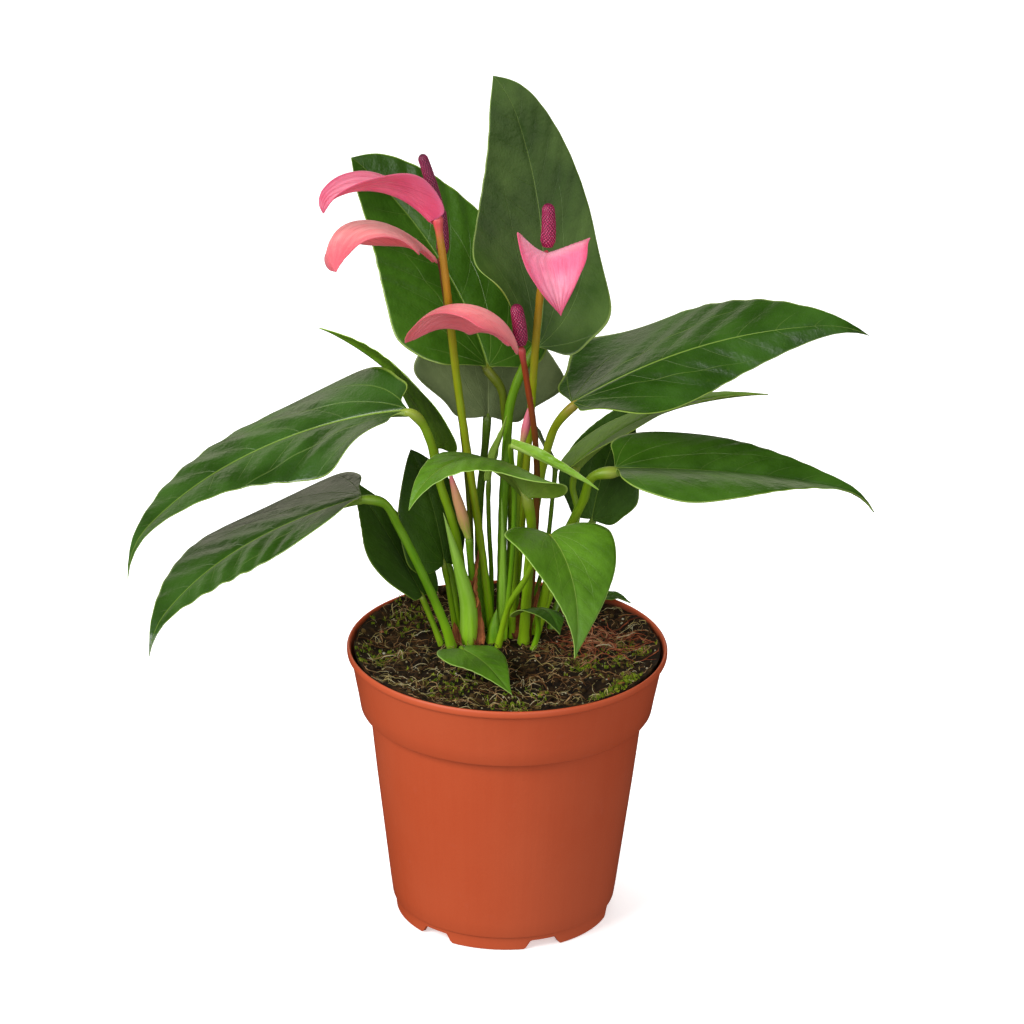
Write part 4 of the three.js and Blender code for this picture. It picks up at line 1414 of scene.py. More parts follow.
@dataclass(frozen=True)
class Stem:
    """A stalk from the soil to its joint, and on under the blade it carries."""

    route: tuple[Point, ...]
    radius: float
    look: StalkLook
    flare: float = 1.25
    swell: float = 1.18
    channel: float = 0.1

    STEP: ClassVar[float] = 0.0011
    SIDES: ClassVar[int] = 18
    BURIED: ClassVar[float] = 0.0025

    def build(self, name: str, joint: Point, soil: Soil, tail: Sequence[Point] = ()) -> bpy.types.Object:
        """Makes the stalk.

        Args:
            name: the object's name.
            joint: where it meets its blade or flower.
            soil: the soil it grows from.
            tail: places under the midrib that it runs out along.

        Returns:
            The object.
        """
        foot = self.route[-1]
        ground = (foot[0], foot[1], soil.height(foot[0], foot[1]) - self.BURIED)
        points = [ground, *reversed(self.route[:-1]), joint]
        stalk = smooth_route(points, self.STEP)
        body = len(stalk)
        if tail:
            stalk = smooth_route([*points, *tail], self.STEP)
            body = int(np.argmin(np.linalg.norm(stalk - np.array(joint), axis=1))) + 1
        share = np.clip(np.arange(len(stalk)) / max(1, body - 1), 0, 1)
        run = np.arange(len(stalk)) * self.STEP
        left = (body - 1) * self.STEP - run
        radii = self.radius * (1.04 - 0.08 * share)
        radii *= 1 + (self.flare - 1) * np.exp(-((run / 0.007) ** 2))
        if tail:
            radii *= 1 + (self.swell - 1) * smooth_step(left, 0.009, 0.004) * smooth_step(left, -0.001, 0.002)
        else:
            radii *= 1 + (self.swell - 1) * smooth_step(left, 0.007, 0.0)
        radii *= 1 + 0.03 * np.sin(run * 700 + foot[0] * 900)
        beyond = np.clip(-left, 0, None)
        if tail:
            radii *= np.clip(1 - beyond / (beyond[-1] + 1e-9), 0, 1) ** 0.7
        radii[0] = radii[-1] = 0.0
        if not tail:
            radii[-2] *= 0.75
        angles = np.linspace(0, math.tau, self.SIDES, endpoint=False)
        ribs = 1 + 0.018 * np.cos(6 * angles) - self.channel * np.exp(-(((angles - math.pi) / 0.45) ** 2))
        shape = np.tile(ribs, (len(stalk), 1))
        surface = sweep(stalk, radii, self.SIDES, shape)
        turns = np.tile(angles / math.tau, (len(stalk), 1))
        draft = MeshDraft()
        draft.grid(surface, {"along": np.tile(share[:, None], (1, self.SIDES)), "turn": turns}, closed=True)
        return draft.build(name, (self.look.value.material(),))


# ------------------------------------------------------------------ leaves


@dataclass(frozen=True)
class Leaf:
    """A leaf blade with its stalk."""

    name: str
    form: BladeForm
    stem: Stem | None
    look: LeafLook = LeafLook.GLOSSY
    back: LeafLook = LeafLook.BENEATH
    relief: Relief = Relief()
    slot: str = "leaf"

    def build(self, soil: Soil, seed: int) -> None:
        """Makes the blade and the stalk.

        Args:
            soil: the soil that the stalk grows from.
            seed: what makes this blade's ripples its own.
        """
        size = self.form.length
        rows, columns = (110, 44) if size > 0.06 else (64, 28)
        root = self.stem.radius if self.stem else 0.0
        mesh = BladeMesh(self.form, self.relief, rows, columns, seed, root * 0.9)
        blade = mesh.build(f"blade_{self.name}", self.look.value, self.back.value)
        enrol(blade, self.slot, f"leaf_{self.name}")
        if self.stem:
            tail = [mesh.blade.under_rib(share, root * 1.1) for share in (0.03, 0.07)]
            joint = mesh.blade.under_rib(0.0, root * 1.05)
            stalk = self.stem.build(f"petiole_{self.name}", joint, soil, tail)
            enrol(stalk, "green_stalk", f"stalk_{self.name}")


PLEATED = Relief(pleat=0.0005, ripple=0.00028)
FLAT = Relief(pleat=0.00022, ripple=0.0003)
SMALL = Relief(pairs=6, pleat=0.00015, rib_depth=0.0003, rib_width=0.0007, ripple=0.0004, keel=0.0005)

LEAVES: tuple[Leaf, ...] = (
    Leaf(
        "tall",
        BladeForm(
            (0.0097, 0.013, 0.222), 0.1058, 0.0634, 77.5, 49.7, droop=-20.7, sweep=60, roll=-48.4,
            twist=-0.8, fold=-2, cup=0.09, lift=0.87, widest=0.17, shoulder=0.67, skew=-0.17,
            taper=0.55, hook=27,
        ),
        Stem(
            (
                (0.0035, 0.0135, 0.2115), (-0.0005, 0.014, 0.198), (-0.0015, 0.0145, 0.182),
                (-0.0025, 0.0155, 0.155), (-0.0025, 0.0175, 0.104),
            ),
            0.0018, StalkLook.FRESH,
        ),
        LeafLook.DUSKY,
    ),
    Leaf(
        "back_left",
        BladeForm(
            (-0.0087, 0.017, 0.2124), 0.0976, 0.0658, 106.8, 34.3, droop=-31.7, sweep=57.4, roll=-11.4,
            twist=8.5, fold=12.3, cup=-0.12, lift=-0.11, lobe=0.01, widest=0.18, shoulder=0.83,
            skew=-0.07, taper=0.54, hook=5,
        ),
        Stem(
            (
                (-0.004, 0.0175, 0.2035), (-0.002, 0.0185, 0.1905), (-0.0005, 0.0195, 0.174),
                (0.001, 0.021, 0.149), (-0.001, 0.024, 0.104),
            ),
            0.0017, StalkLook.OLIVE,
        ),
        relief=PLEATED,
    ),
    Leaf(
        "behind",
        BladeForm(
            (-0.0085, 0.025, 0.1895), 0.053, 0.059, 91, 52, droop=21, sweep=-3, roll=-16, twist=3,
            fold=11, cup=-0.11, lift=-0.35, lobe=0.03, widest=0.26, shoulder=0.6, taper=0.9,
        ),
        Stem(
            (
                (-0.0095, 0.0245, 0.178), (-0.011, 0.0235, 0.16), (-0.0115, 0.0225, 0.14),
                (-0.0095, 0.021, 0.104),
            ),
            0.0015, StalkLook.DARK,
        ),
        LeafLook.GREYED, LeafLook.GREY_BENEATH, FLAT,
    ),
    Leaf(
        "right_upper",
        BladeForm(
            (0.0224, 0.008, 0.2024), 0.1163, 0.067, 20.9, 24.2, droop=8.3, sweep=-40.7, roll=5.6,
            twist=-45.3, fold=-12.3, cup=-0.08, lift=0.6, widest=0.16, shoulder=0.56, skew=-0.22,
            taper=1.07, hook=50,
        ),
        Stem(
            (
                (0.0165, 0.0095, 0.192), (0.013, 0.011, 0.1795), (0.0105, 0.0135, 0.1645),
                (0.0085, 0.0165, 0.143), (0.0055, 0.022, 0.104),
            ),
            0.0017, StalkLook.JOINTED,
        ),
        LeafLook.PAINTED_SHADE, relief=PLEATED,
    ),
    Leaf(
        "right_lower",
        BladeForm(
            (0.03865, -0.005, 0.1818), 0.1007, 0.0568, 7.2, 0, droop=13.2, sweep=-11, roll=-5.1,
            twist=-4.1, fold=25.2, cup=-0.29, lift=0.03, widest=0.22, shoulder=0.86, skew=0.23,
            taper=1.13, hook=46.4,
        ),
        Stem(
            (
                (0.0305, -0.004, 0.1775), (0.027, 0, 0.166), (0.023, 0.005, 0.1548),
                (0.0165, 0.0105, 0.1355), (0.01, 0.017, 0.104),
            ),
            0.0018, StalkLook.YELLOW, swell=1.35,
        ),
    ),
    Leaf(
        "right_behind",
        BladeForm(
            (0.0245, 0.0295, 0.1689), 0.081, 0.038, 21, 38, droop=46, sweep=9, roll=21, twist=-7,
            fold=11, cup=-0.1, lift=0.1, lobe=0.06, widest=0.26, skew=0.1,
        ),
        Stem(
            (
                (0.0235, 0.0295, 0.16), (0.0255, 0.028, 0.1496), (0.023, 0.0245, 0.138),
                (0.018, 0.024, 0.124), (0.011, 0.024, 0.104),
            ),
            0.0013, StalkLook.YELLOW,
        ),
        LeafLook.LIMED,
    ),
    Leaf(
        "right_upright",
        BladeForm(
            (0.031, 0.0425, 0.1408), 0.05, 0.041, 64, 72, droop=24, sweep=-10, roll=18, twist=-8,
            fold=9, cup=-0.11, lift=-0.3, lobe=0.01, widest=0.22, shoulder=0.7, taper=0.86,
        ),
        Stem(
            ((0.0265, 0.037, 0.1325), (0.0215, 0.028, 0.1225), (0.0155, 0.021, 0.104)), 0.0013,
            StalkLook.DARK,
        ),
        LeafLook.SHADED,
    ),
    Leaf(
        "left_upper",
        BladeForm(
            (-0.0378, -0.007, 0.2045), 0.1383, 0.0608, 152.3, -14.6, droop=-7.4, sweep=101.6, roll=18.2,
            twist=3.5, fold=9.6, cup=-0.34, lift=0.66, lobe=-0.03, widest=0.17, shoulder=0.52,
            skew=-0.05, taper=1.3, hook=37,
        ),
        Stem(
            (
                (-0.0332, -0.0052, 0.199), (-0.0295, -0.003, 0.19), (-0.0262, 0, 0.1735),
                (-0.0203, 0.0045, 0.1515), (-0.014, 0.0145, 0.104),
            ),
            0.0017, StalkLook.YELLOW,
        ),
        LeafLook.LACQUERED, relief=PLEATED,
    ),
    Leaf(
        "left_lower",
        BladeForm(
            (-0.0542, -0.014, 0.1728), 0.1078, 0.0464, 180.4, -18.7, droop=9.2, sweep=67, roll=-8.2,
            twist=33.9, fold=5.8, cup=-0.15, lift=0.29, lobe=-0.01, widest=0.31, shoulder=1.03,
            skew=0.1, taper=1.22, hook=43,
        ),
        Stem(
            (
                (-0.0462, -0.0126, 0.1692), (-0.0405, -0.0105, 0.1585), (-0.0318, -0.006, 0.138),
                (-0.0235, 0, 0.1148), (-0.0205, 0.003, 0.104),
            ),
            0.0017, StalkLook.FRESH,
        ),
        LeafLook.LACQUERED, relief=PLEATED,
    ),
    Leaf(
        "left_behind",
        BladeForm(
            (-0.027, 0.024, 0.177), 0.066, 0.039, 154, 72, droop=54, sweep=-20, roll=-49, twist=6,
            fold=11, cup=-0.21, lift=0.2, lobe=0.02, widest=0.26,
        ),
        Stem(
            (
                (-0.029, 0.0265, 0.1582), (-0.0305, 0.0275, 0.1477), (-0.028, 0.0265, 0.1373),
                (-0.0225, 0.023, 0.1292), (-0.0185, 0.019, 0.104),
            ),
            0.0012, StalkLook.YELLOW,
        ),
        LeafLook.LIT, LeafLook.LIMED,
    ),
    Leaf(
        "low_left",
        BladeForm(
            (-0.0315, 0.002, 0.1265), 0.051, 0.04, 141, 51, droop=2, sweep=10, roll=-22, twist=20,
            fold=5, cup=-0.03, lift=0.1, lobe=0.02, widest=0.32, skew=-0.2,
        ),
        Stem(((-0.0285, 0.003, 0.1155), (-0.024, 0.0045, 0.104)), 0.0011, StalkLook.YELLOW),
        LeafLook.SHADED,
    ),
    Leaf(
        "inner_left",
        BladeForm(
            (-0.0235, 0.009, 0.1364), 0.045, 0.034, 129, 78, droop=22, sweep=7, roll=-12, twist=15,
            fold=2, cup=-0.09, lift=-0.2, lobe=0.04, widest=0.35, skew=-0.1, taper=0.7,
        ),
        Stem(((-0.0225, 0.011, 0.126), (-0.019, 0.0145, 0.104)), 0.0011, StalkLook.YELLOW),
        LeafLook.SHADED,
    ),
    Leaf(
        "front_arching",
        BladeForm(
            (0.0075, -0.016, 0.1743), 0.065, 0.046, 166, 63, droop=132, sweep=17, roll=-49, twist=15,
            fold=11, cup=-0.31, lift=0.3, lobe=0.03, widest=0.19, skew=-0.2,
        ),
        Stem(
            ((0.0081, -0.0122, 0.161), (0.0074, -0.004, 0.141), (0.0058, 0.0095, 0.104)), 0.0019,
            StalkLook.YELLOW,
        ),
        LeafLook.PAINTED_LIGHT,
    ),
    Leaf(
        "young",
        BladeForm(
            (0.0008, -0.0095, 0.1925), 0.036, 0.006, -17, -19, droop=4, sweep=7, roll=45, twist=3,
            fold=55, cup=-0.07, lift=0.1, lobe=0.02, shoulder=0.7, taper=0.8,
        ),
        Stem(
            ((0.0015, 0, 0.1725), (0.0015, 0.004, 0.146), (-0.0015, 0.0095, 0.104)), 0.001,
            StalkLook.FRESH,
        ),
        LeafLook.FRESH, LeafLook.FRESH, SMALL, "young_leaf",
    ),
    Leaf(
        "front_right",
        BladeForm(
            (0.015, -0.024, 0.163), 0.055, 0.043, -65, -5, droop=71, sweep=-5, roll=5, twist=18,
            fold=11, cup=-0.03, lobe=0.05, widest=0.14, taper=1.1,
        ),
        Stem(
            (
                (0.012, -0.021, 0.157), (0.006, -0.012, 0.139), (0.0005, -0.0055, 0.126),
                (-0.004, 0.003, 0.104),
            ),
            0.0012, StalkLook.YELLOW,
        ),
        LeafLook.PAINTED_LIGHT, relief=FLAT,
    ),
    Leaf(
        "front_small",
        BladeForm(
            (-0.0165, -0.014, 0.112), 0.036, 0.024, -60, 12, droop=40, sweep=7, roll=4, twist=-2,
            fold=5, cup=-0.1, lobe=0.06, widest=0.24, skew=0.1,
        ),
        Stem(((-0.017, -0.011, 0.1105), (-0.0175, -0.006, 0.104)), 0.0009, StalkLook.FRESH),
        LeafLook.PAINTED_LIGHT, relief=SMALL,
    ),
    Leaf(
        "curled",
        BladeForm(
            (0.0115, -0.006, 0.1255), 0.019, 0.021, -53, 16, droop=60, roll=17, twist=10, fold=4,
            cup=-0.13, lift=-0.3, lobe=0.06, widest=0.2, skew=0.3,
        ),
        Stem(
            ((0.0112, -0.002, 0.1195), (0.0115, 0.001, 0.1125), (0.009, 0.004, 0.104)), 0.001,
            StalkLook.FRESH,
        ),
        relief=SMALL,
    ),
    Leaf(
        "thin",
        BladeForm(
            (-0.0085, 0.009, 0.1705), 0.026, 0.0042, 20, 76, droop=5, roll=60, fold=15, lobe=0.02,
            widest=0.35,
        ),
        Stem(
            (
                (-0.008, 0.0095, 0.165), (-0.0075, 0.012, 0.1485), (-0.0065, 0.015, 0.131),
                (-0.006, 0.019, 0.104),
            ),
            0.0009, StalkLook.DARK,
        ),
        LeafLook.SHADED, relief=SMALL,
    ),
    Leaf(
        "pale_behind",
        BladeForm(
            (0.0175, 0.0275, 0.1685), 0.024, 0.013, 175, 64, droop=10, roll=-10, fold=6, cup=-0.05,
            lobe=0.02, taper=0.9,
        ),
        Stem(
            ((0.016, 0.0275, 0.155), (0.0135, 0.027, 0.1305), (0.0065, 0.0275, 0.104)), 0.0009,
            StalkLook.DARK,
        ),
        LeafLook.GREYED, LeafLook.GREY_BENEATH, SMALL,
    ),
    Leaf(
        "rim",
        BladeForm((0.036, 0.044, 0.108), 0.012, 0.007, -15, 25, droop=60, fold=10, cup=-0.1, lobe=0.02),
        None, LeafLook.SHADED, relief=SMALL,
    ),
)


# ------------------------------------------------------------------ flowers


@dataclass(frozen=True)
class Spike:
    """A spadix covered in tiny florets."""

    start: Point
    lean: Point
    radius: float
    look: SpikeLook = SpikeLook.PLUM
    around: int = 14
    pitch: float = 0.00125

    ROWS: ClassVar[int] = 190
    SIDES: ClassVar[int] = 112
    FLORET_HEIGHT: ClassVar[float] = 0.00022
    BOW: ClassVar[float] = 0.0004

    def build(self, name: str) -> bpy.types.Object:
        """Makes the spadix.

        Args:
            name: the object's name.

        Returns:
            The object.
        """
        start, lean = np.array(self.start), np.array(self.lean)
        length = float(np.linalg.norm(lean))
        rows, sides = self.ROWS, self.SIDES
        share = np.linspace(0, 1, rows)
        run = share * length
        dome = np.sqrt(np.clip(1 - ((run - (length - self.radius)) / self.radius).clip(0) ** 2, 0, 1))
        neck = 0.72 + 0.28 * smooth_step(run, 0.0, 0.0025)
        radii = self.radius * (1 - 0.2 * share**1.5) * dome * neck
        angles = np.linspace(0, math.tau, sides, endpoint=False)
        turn = self.around * angles[None, :] / 2
        climb = math.pi * run[:, None] / self.pitch
        sway = 0.5 * np.sin(3 * angles[None, :] + 900 * run[:, None])
        sway = sway + 0.4 * np.sin(2 * angles[None, :] - 2100 * run[:, None])
        cells = np.abs(np.sin(turn + climb + sway) * np.sin(turn - climb * 0.92 + sway)) ** 0.8
        shape = 1 + cells * self.FLORET_HEIGHT / self.radius
        radii[0] = radii[-1] = 0.0
        bow = np.outer(np.sin(math.pi * share) * self.BOW, (1.0, 0.0, 0.0))
        surface = sweep(start + np.outer(share, lean) + bow, radii, sides, shape)
        draft = MeshDraft()
        draft.grid(surface, {"floret": cells * dome[:, None]}, closed=True)
        return draft.build(name, (self.look.value.material(),))


@dataclass(frozen=True)
class Flower:
    """A spathe and a spadix on a stalk."""

    name: str
    spathe: BladeForm
    face: PetalLook
    back: PetalLook
    spike: Spike
    joint: Point
    stem: Stem

    RELIEF: ClassVar[Relief] = Relief(
        pleat=0.0, rib_depth=0.0001, ripple=0.0004, thickness=0.0005, keel=0.0004, grooves=9
    )

    def build(self, soil: Soil, seed: int) -> None:
        """Makes the flower.

        Args:
            soil: the soil that the stalk grows from.
            seed: what makes this spathe's ripples its own.
        """
        mesh = BladeMesh(self.spathe, self.RELIEF, 90, 44, seed)
        hood = mesh.build(f"hood_{self.name}", self.face.value, self.back.value)
        enrol(hood, "spathe", f"spathe_{self.name}")
        enrol(self.spike.build(f"spike_{self.name}"), "spadix", f"spadix_{self.name}")
        stalk = self.stem.build(f"peduncle_{self.name}", self.joint, soil)
        enrol(stalk, "flower_stalk", f"stalk_flower_{self.name}")


FLOWERS: tuple[Flower, ...] = (
    Flower(
        "top",
        BladeForm(
            (-0.0298, -0.0049, 0.2764), 0.0496, 0.0224, 163.8, 42.6, droop=84.7, sweep=30.1, roll=-56,
            twist=42.3, fold=27.9, cup=0.17, lift=-0.07, lobe=0.02, widest=0.28, shoulder=0.77,
            skew=-0.05, taper=0.53, hook=58.5,
        ),
        PetalLook.BLUSH, PetalLook.MAGENTA,
        Spike((-0.0268, -0.0019, 0.2774), (-0.0068, 0, 0.0232), 0.0021, SpikeLook.WINE),
        (-0.0279, -0.0037, 0.2786),
        Stem(
            (
                (-0.024, -0.004, 0.25), (-0.0205, 0.0025, 0.216), (-0.0155, 0.0055, 0.1795),
                (-0.0105, 0.009, 0.144), (-0.0055, 0.0125, 0.104),
            ),
            0.0015, StalkLook.AMBER, swell=1.7,
        ),
    ),
    Flower(
        "second",
        BladeForm(
            (-0.0281, 0.0044, 0.2593), 0.0772, 0.0321, 171.9, 48.1, droop=120.7, sweep=44.7, roll=-40.3,
            twist=-39.9, fold=-23.2, cup=-0.24, lobe=0.01, widest=0.29, shoulder=0.42, skew=-0.34,
            taper=0.43, hook=15.3,
        ),
        PetalLook.LINING, PetalLook.CORAL,
        Spike((-0.0258, 0.0061, 0.2599), (-0.001, 0.002, 0.017), 0.0022, SpikeLook.WINE),
        (-0.0268, 0.0044, 0.2596),
        Stem(
            (
                (-0.024, 0.0055, 0.2385), (-0.0203, 0.008, 0.208), (-0.017, 0.0135, 0.18),
                (-0.0145, 0.018, 0.146), (-0.014, 0.0235, 0.104),
            ),
            0.0011, StalkLook.UMBER, swell=1.3,
        ),
    ),
    Flower(
        "middle",
        BladeForm(
            (0.0018, -0.0087, 0.2302), 0.0539, 0.0319, 166.9, 77.1, droop=131.4, sweep=-81, roll=-39.8,
            twist=-28, fold=-12.7, cup=-0.45, lift=-0.02, widest=0.35, shoulder=0.65, skew=-0.24,
            taper=0.62, hook=-33.9,
        ),
        PetalLook.LINING, PetalLook.CORAL,
        Spike((0.0031, -0.0078, 0.2303), (-0.0021, 0.001, 0.0155), 0.0026), (0.0031, -0.0083, 0.2303),
        Stem(
            (
                (0.006, -0.0055, 0.2125), (0.009, -0.0015, 0.191), (0.01, 0.0025, 0.165),
                (0.0075, 0.0125, 0.104),
            ),
            0.0012, StalkLook.SCARLET, swell=1.4,
        ),
    ),
    Flower(
        "right",
        BladeForm(
            (0.012, -0.0002, 0.2635), 0.0306, 0.0253, -77.5, 13.2, droop=115.2, sweep=5.7, roll=9.9,
            twist=-28.2, fold=9.3, cup=0.25, lift=0.12, lobe=0.05, widest=0.24, shoulder=1.07,
            skew=-0.05, taper=0.98, hook=-5.4,
        ),
        PetalLook.ROSE, PetalLook.ROSE_BACK,
        Spike((0.0122, 0.0028, 0.2646), (-0.0001, 0.001, 0.0162), 0.0026), (0.012, 0.0016, 0.2637),
        Stem(
            (
                (0.01, 0.004, 0.2475), (0.0085, 0.0075, 0.2245), (0.0075, 0.0115, 0.201),
                (0.006, 0.016, 0.1755), (0.002, 0.028, 0.104),
            ),
            0.0015, StalkLook.AMBER, swell=1.2,
        ),
    ),
)


# ------------------------------------------------------------------ buds, sheaths and papery trim


@dataclass(frozen=True)
class RolledShoot:
    """A bud or sheath: tissue rolled to a point, with its free edge winding round it."""

    name: str
    route: tuple[Point, ...]
    radius: float
    look: StalkLook
    slot: str
    stands_for: str
    fullest: float = 0.4
    foot_share: float = 0.55
    wind: float = 0.6
    lap: float = 0.14

    def build(self) -> None:
        """Makes the shoot, from its foot to its tip."""
        route = smooth_route(tuple(reversed(self.route)), 0.0007)
        share = np.linspace(0, 1, len(route))
        rise = self.foot_share + (1 - self.foot_share) * smooth_step(share, 0.0, self.fullest)
        fall = np.clip(1 - ((share - self.fullest) / (1 - self.fullest)).clip(0) ** 1.6, 0, 1)
        radii = self.radius * rise * fall
        radii[0] = radii[-1] = 0.0
        sides = 40
        angles = np.linspace(0, math.tau, sides, endpoint=False)
        lead = (angles[None, :] / math.tau + self.wind * share[:, None] + 0.2) % 1.0
        shape = 1 + self.lap * (smooth_step(lead, 0.0, 0.08) * (1 - lead) - 0.35)
        shape += 0.012 * np.cos(11 * angles)[None, :]
        surface = sweep(route, radii, sides, shape)
        fields = {
            "along": np.tile(share[:, None], (1, sides)),
            "turn": np.tile(angles / math.tau, (len(route), 1)),
        }
        draft = MeshDraft()
        draft.grid(surface, fields, closed=True)
        enrol(draft.build(self.name, (self.look.value.material(),)), self.slot, self.stands_for)


SHOOTS: tuple[RolledShoot, ...] = (
    RolledShoot(
        "bud_roll_right", ((0.008, 0.001, 0.2067), (0.006, 0, 0.1977), (0.004, -0.001, 0.1877)), 0.0016,
        StalkLook.BUD_ROSE, "spathe", "bud_right",
    ),
    RolledShoot(
        "bud_roll_left", ((-0.023, -0.001, 0.18), (-0.019, 0, 0.165), (-0.015, 0.002, 0.149)), 0.0021,
        StalkLook.BUD_CREAM, "spathe", "bud_left", fullest=0.3,
    ),
    RolledShoot(
        "sheath_roll_large",
        (
            (-0.0245, -0.003, 0.162), (-0.021, 0, 0.148), (-0.0178, 0.002, 0.135),
            (-0.015, 0.0045, 0.121), (-0.0148, 0.0073, 0.102),
        ),
        0.0034, StalkLook.SHEATH, "sheath", "sheath_large", fullest=0.12, foot_share=0.8, wind=0.25,
    ),
    RolledShoot(
        "sheath_roll_pale",
        ((-0.003, 0.0095, 0.163), (-0.0023, 0.0105, 0.146), (-0.002, 0.0135, 0.102)), 0.0016,
        StalkLook.SHEATH, "sheath", "sheath_pale", fullest=0.3, wind=0.1,
    ),
    RolledShoot(
        "sheath_roll_basal",
        ((-0.0042, 0.0065, 0.119), (-0.0048, 0.0068, 0.112), (-0.0053, 0.0072, 0.102)), 0.0031,
        StalkLook.FRESH, "sheath", "sheath_basal", fullest=0.2, foot_share=0.8, wind=0.1,
    ),
)

BUD_STEMS: tuple[tuple[str, Point, Stem], ...] = (
    (
        "right", (0.004, -0.001, 0.189),
        Stem(
            ((0.003, 0.0025, 0.172), (0.0025, 0.0075, 0.148), (0.0015, 0.014, 0.104)), 0.0012,
            StalkLook.YELLOW,
        ),
    ),
    (
        "left", (-0.0151, 0.002, 0.1505),
        Stem(((-0.013, 0.008, 0.126), (-0.0095, 0.0135, 0.104)), 0.0014, StalkLook.FRESH),
    ),
)


@dataclass(frozen=True)
class PaperyBase:
    """A dead papery leaf base at the foot of the stalks."""

    name: str
    form: BladeForm

    RELIEF: ClassVar[Relief] = Relief(pleat=0.0002, ripple=0.0007, thickness=0.00025, keel=0.0002, grooves=7)

    def build(self, seed: int) -> None:
        """Makes the papery piece."""
        mesh = BladeMesh(self.form, self.RELIEF, 48, 20, seed)
        enrol(mesh.build(f"papery_{self.name}", PAPER, PAPER), "sheath")


PAPERY_BASES: tuple[PaperyBase, ...] = (
    PaperyBase(
        "beside_large",
        BladeForm(
            (-0.0105, 0.004, 0.1035), 0.019, 0.0045, 100, 84, droop=6, twist=60, fold=10, cup=0.3,
            lobe=0.02,
        ),
    ),
    PaperyBase(
        "high",
        BladeForm(
            (-0.013, 0.004, 0.121), 0.022, 0.004, 80, 86, droop=10, roll=20, twist=40, fold=10, cup=0.3,
            lobe=0.02,
        ),
    ),
    PaperyBase(
        "left",
        BladeForm(
            (-0.0185, 0.003, 0.1035), 0.011, 0.004, 120, 76, droop=10, twist=30, fold=10, cup=0.3,
            lobe=0.02,
        ),
    ),
    PaperyBase(
        "centre",
        BladeForm(
            (0.0045, 0.012, 0.1035), 0.017, 0.005, 90, 85, droop=6, twist=30, fold=10, cup=0.3,
            lobe=0.02,
        ),
    ),
    PaperyBase(
        "right",
        BladeForm(
            (0.0095, 0.0155, 0.107), 0.018, 0.004, 60, 82, droop=8, twist=30, fold=10, cup=0.3,
            lobe=0.02,
        ),
    ),
)


# ------------------------------------------------------------------ studio


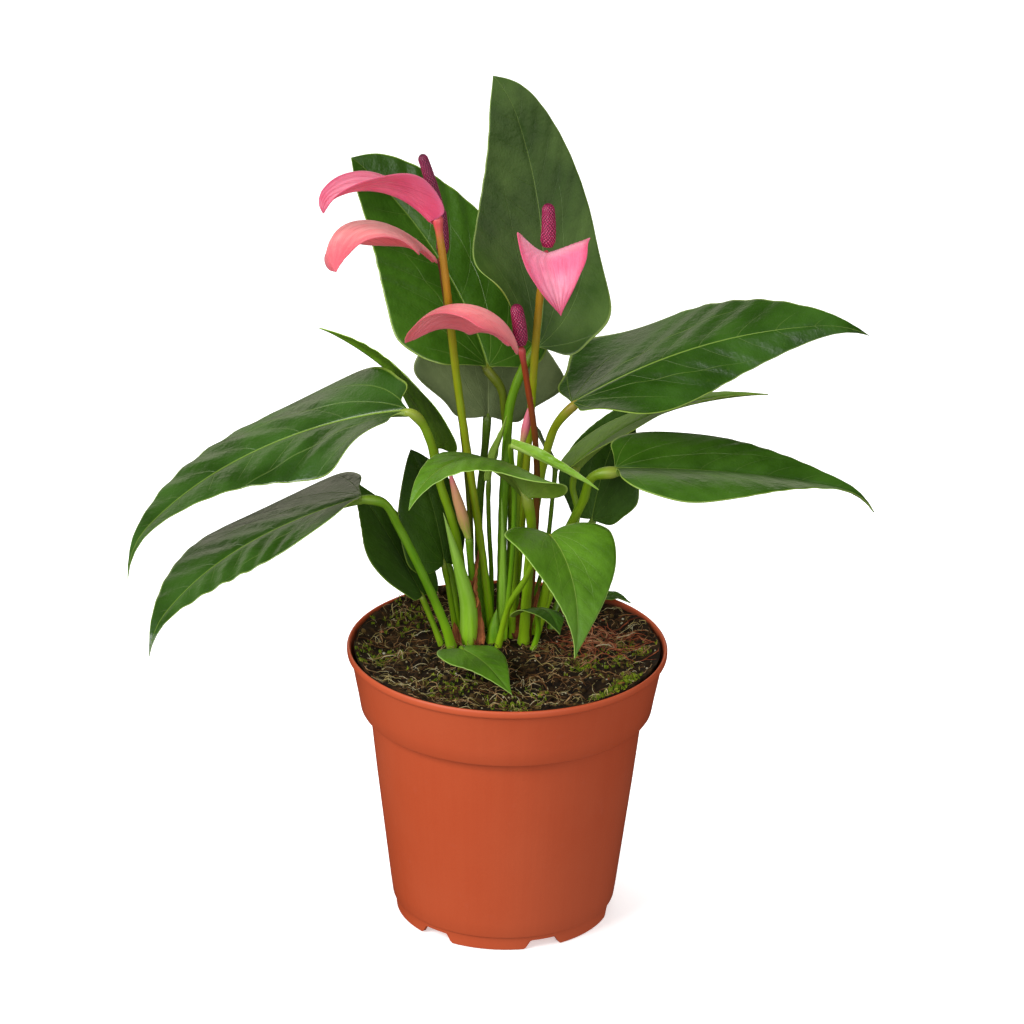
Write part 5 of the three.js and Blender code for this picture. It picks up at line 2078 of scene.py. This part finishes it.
@dataclass
class Studio:
    """A pale floor, soft lights and the camera."""

    sheen_tone: tuple[float, float, float] = (1.0, 0.96, 0.74)
    distance: float = 1.8
    elevation: float = 22.9
    roll: float = 0.94
    lens: float = 171.1
    target: Point = (0.00096, 0.0, 0.1612)
    floor_half: float = 6.0
    floor_drop: float = 0.0002

    def build_camera(self) -> None:
        """Places the camera on the front side, looking down at the plant."""
        data = bpy.data.cameras.new("camera")
        data.lens, data.sensor_width, data.clip_start = self.lens, 36.0, 0.05
        camera = bpy.data.objects.new("camera", data)
        tip = math.radians(self.elevation)
        away = Vector((0, -math.cos(tip), math.sin(tip))) * self.distance
        pitch = Matrix.Rotation(math.radians(90) - tip, 4, "X")
        turn = pitch @ Matrix.Rotation(math.radians(self.roll), 4, "Z")
        camera.matrix_world = Matrix.Translation(Vector(self.target) + away) @ turn
        bpy.context.scene.collection.objects.link(camera)
        bpy.context.scene.camera = camera

    def build_light(
        self,
        name: str,
        place: Point,
        size: tuple[float, float],
        power: float,
        glossy: bool = True,
        diffuse: bool = True,
    ) -> None:
        """Hangs one soft light that faces the plant.

        Args:
            name: the light's name.
            place: where it hangs.
            size: its width and height.
            power: its power in watts.
            glossy: whether it shows in reflections.
            diffuse: whether it lights matt surfaces.
        """
        data = bpy.data.lights.new(name, "AREA")
        data.shape, data.size, data.size_y, data.energy = "RECTANGLE", *size, power
        data.color = (1.0, 1.0, 1.0) if diffuse else self.sheen_tone
        light = bpy.data.objects.new(name, data)
        light.visible_glossy, light.visible_diffuse = glossy, diffuse
        light.location = place
        light.rotation_euler = (Vector(place) - Vector((0, 0, 0.16))).to_track_quat("Z", "Y").to_euler()
        bpy.context.scene.collection.objects.link(light)

    def build_floor(self) -> None:
        """Lays a wide pale floor."""
        half, drop = self.floor_half, self.floor_drop
        mesh = bpy.data.meshes.new("floor")
        corners = [(-half, -half, -drop), (half, -half, -drop), (half, half, -drop), (-half, half, -drop)]
        mesh.from_pydata(corners, [], [(0, 1, 2, 3)])
        material = bpy.data.materials.new("floor_pale")
        material.use_nodes = True
        skin = material.node_tree.nodes["Principled BSDF"]
        board = Board(material.node_tree)
        cloud = board.noise(board.object_place(), 3.0)
        board.feed(skin.inputs["Base Color"], board.mix(cloud, tint("fafafa"), tint("fcfcfc")))
        skin.inputs["Roughness"].default_value = 0.9
        skin.inputs["Specular IOR Level"].default_value = 0.1
        skin.inputs["Emission Color"].default_value = tint("ffffff")
        skin.inputs["Emission Strength"].default_value = 0.45
        mesh.materials.append(material)
        floor = bpy.data.objects.new("floor", mesh)
        bpy.context.scene.collection.objects.link(floor)
        floor.visible_glossy = False
        floor.visible_diffuse = False

    def build(self) -> None:
        """Sets up the whole studio."""
        self.build_camera()
        self.build_floor()
        self.build_light("key", (-1.0, -0.85, 0.95), (0.8, 0.8), 21)
        self.build_light("front", (0.5, -1.6, 0.7), (1.0, 1.0), 9)
        self.build_light("top", (-0.1, 0.35, 1.5), (1.0, 1.0), 13, glossy=False)
        self.build_light("backdrop", (-0.5, 1.7, 0.75), (2.4, 0.9), 7.5, diffuse=False)
        self.build_light("side", (1.9, -0.4, 0.5), (1.2, 1.0), 3.2, diffuse=False)
        world = bpy.data.worlds.new("studio")
        world.use_nodes = True
        world.node_tree.nodes["Background"].inputs["Color"].default_value = tint("ffffff")
        world.node_tree.nodes["Background"].inputs["Strength"].default_value = 0.5
        world.cycles_visibility.glossy = False
        bpy.context.scene.world = world
        bpy.context.scene.view_settings.view_transform = "Standard"


# ------------------------------------------------------------------ assembly


def main() -> None:
    """Builds the studio, the pot, the soil and the plant over the frame."""
    logging.basicConfig(level=logging.INFO, format="%(name)s: %(message)s")
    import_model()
    Studio().build()
    Pot().build()
    soil = Soil()
    soil.build()
    for seed, leaf in enumerate(LEAVES):
        leaf.build(soil, seed)
    for seed, flower in enumerate(FLOWERS, start=40):
        flower.build(soil, seed)
    for shoot in SHOOTS:
        shoot.build()
    for name, joint, stem in BUD_STEMS:
        enrol(stem.build(f"bud_stalk_{name}", joint, soil), "green_stalk", f"stalk_bud_{name}")
    for seed, papery in enumerate(PAPERY_BASES, start=60):
        papery.build(seed)


if __name__ == "__main__":
    main()
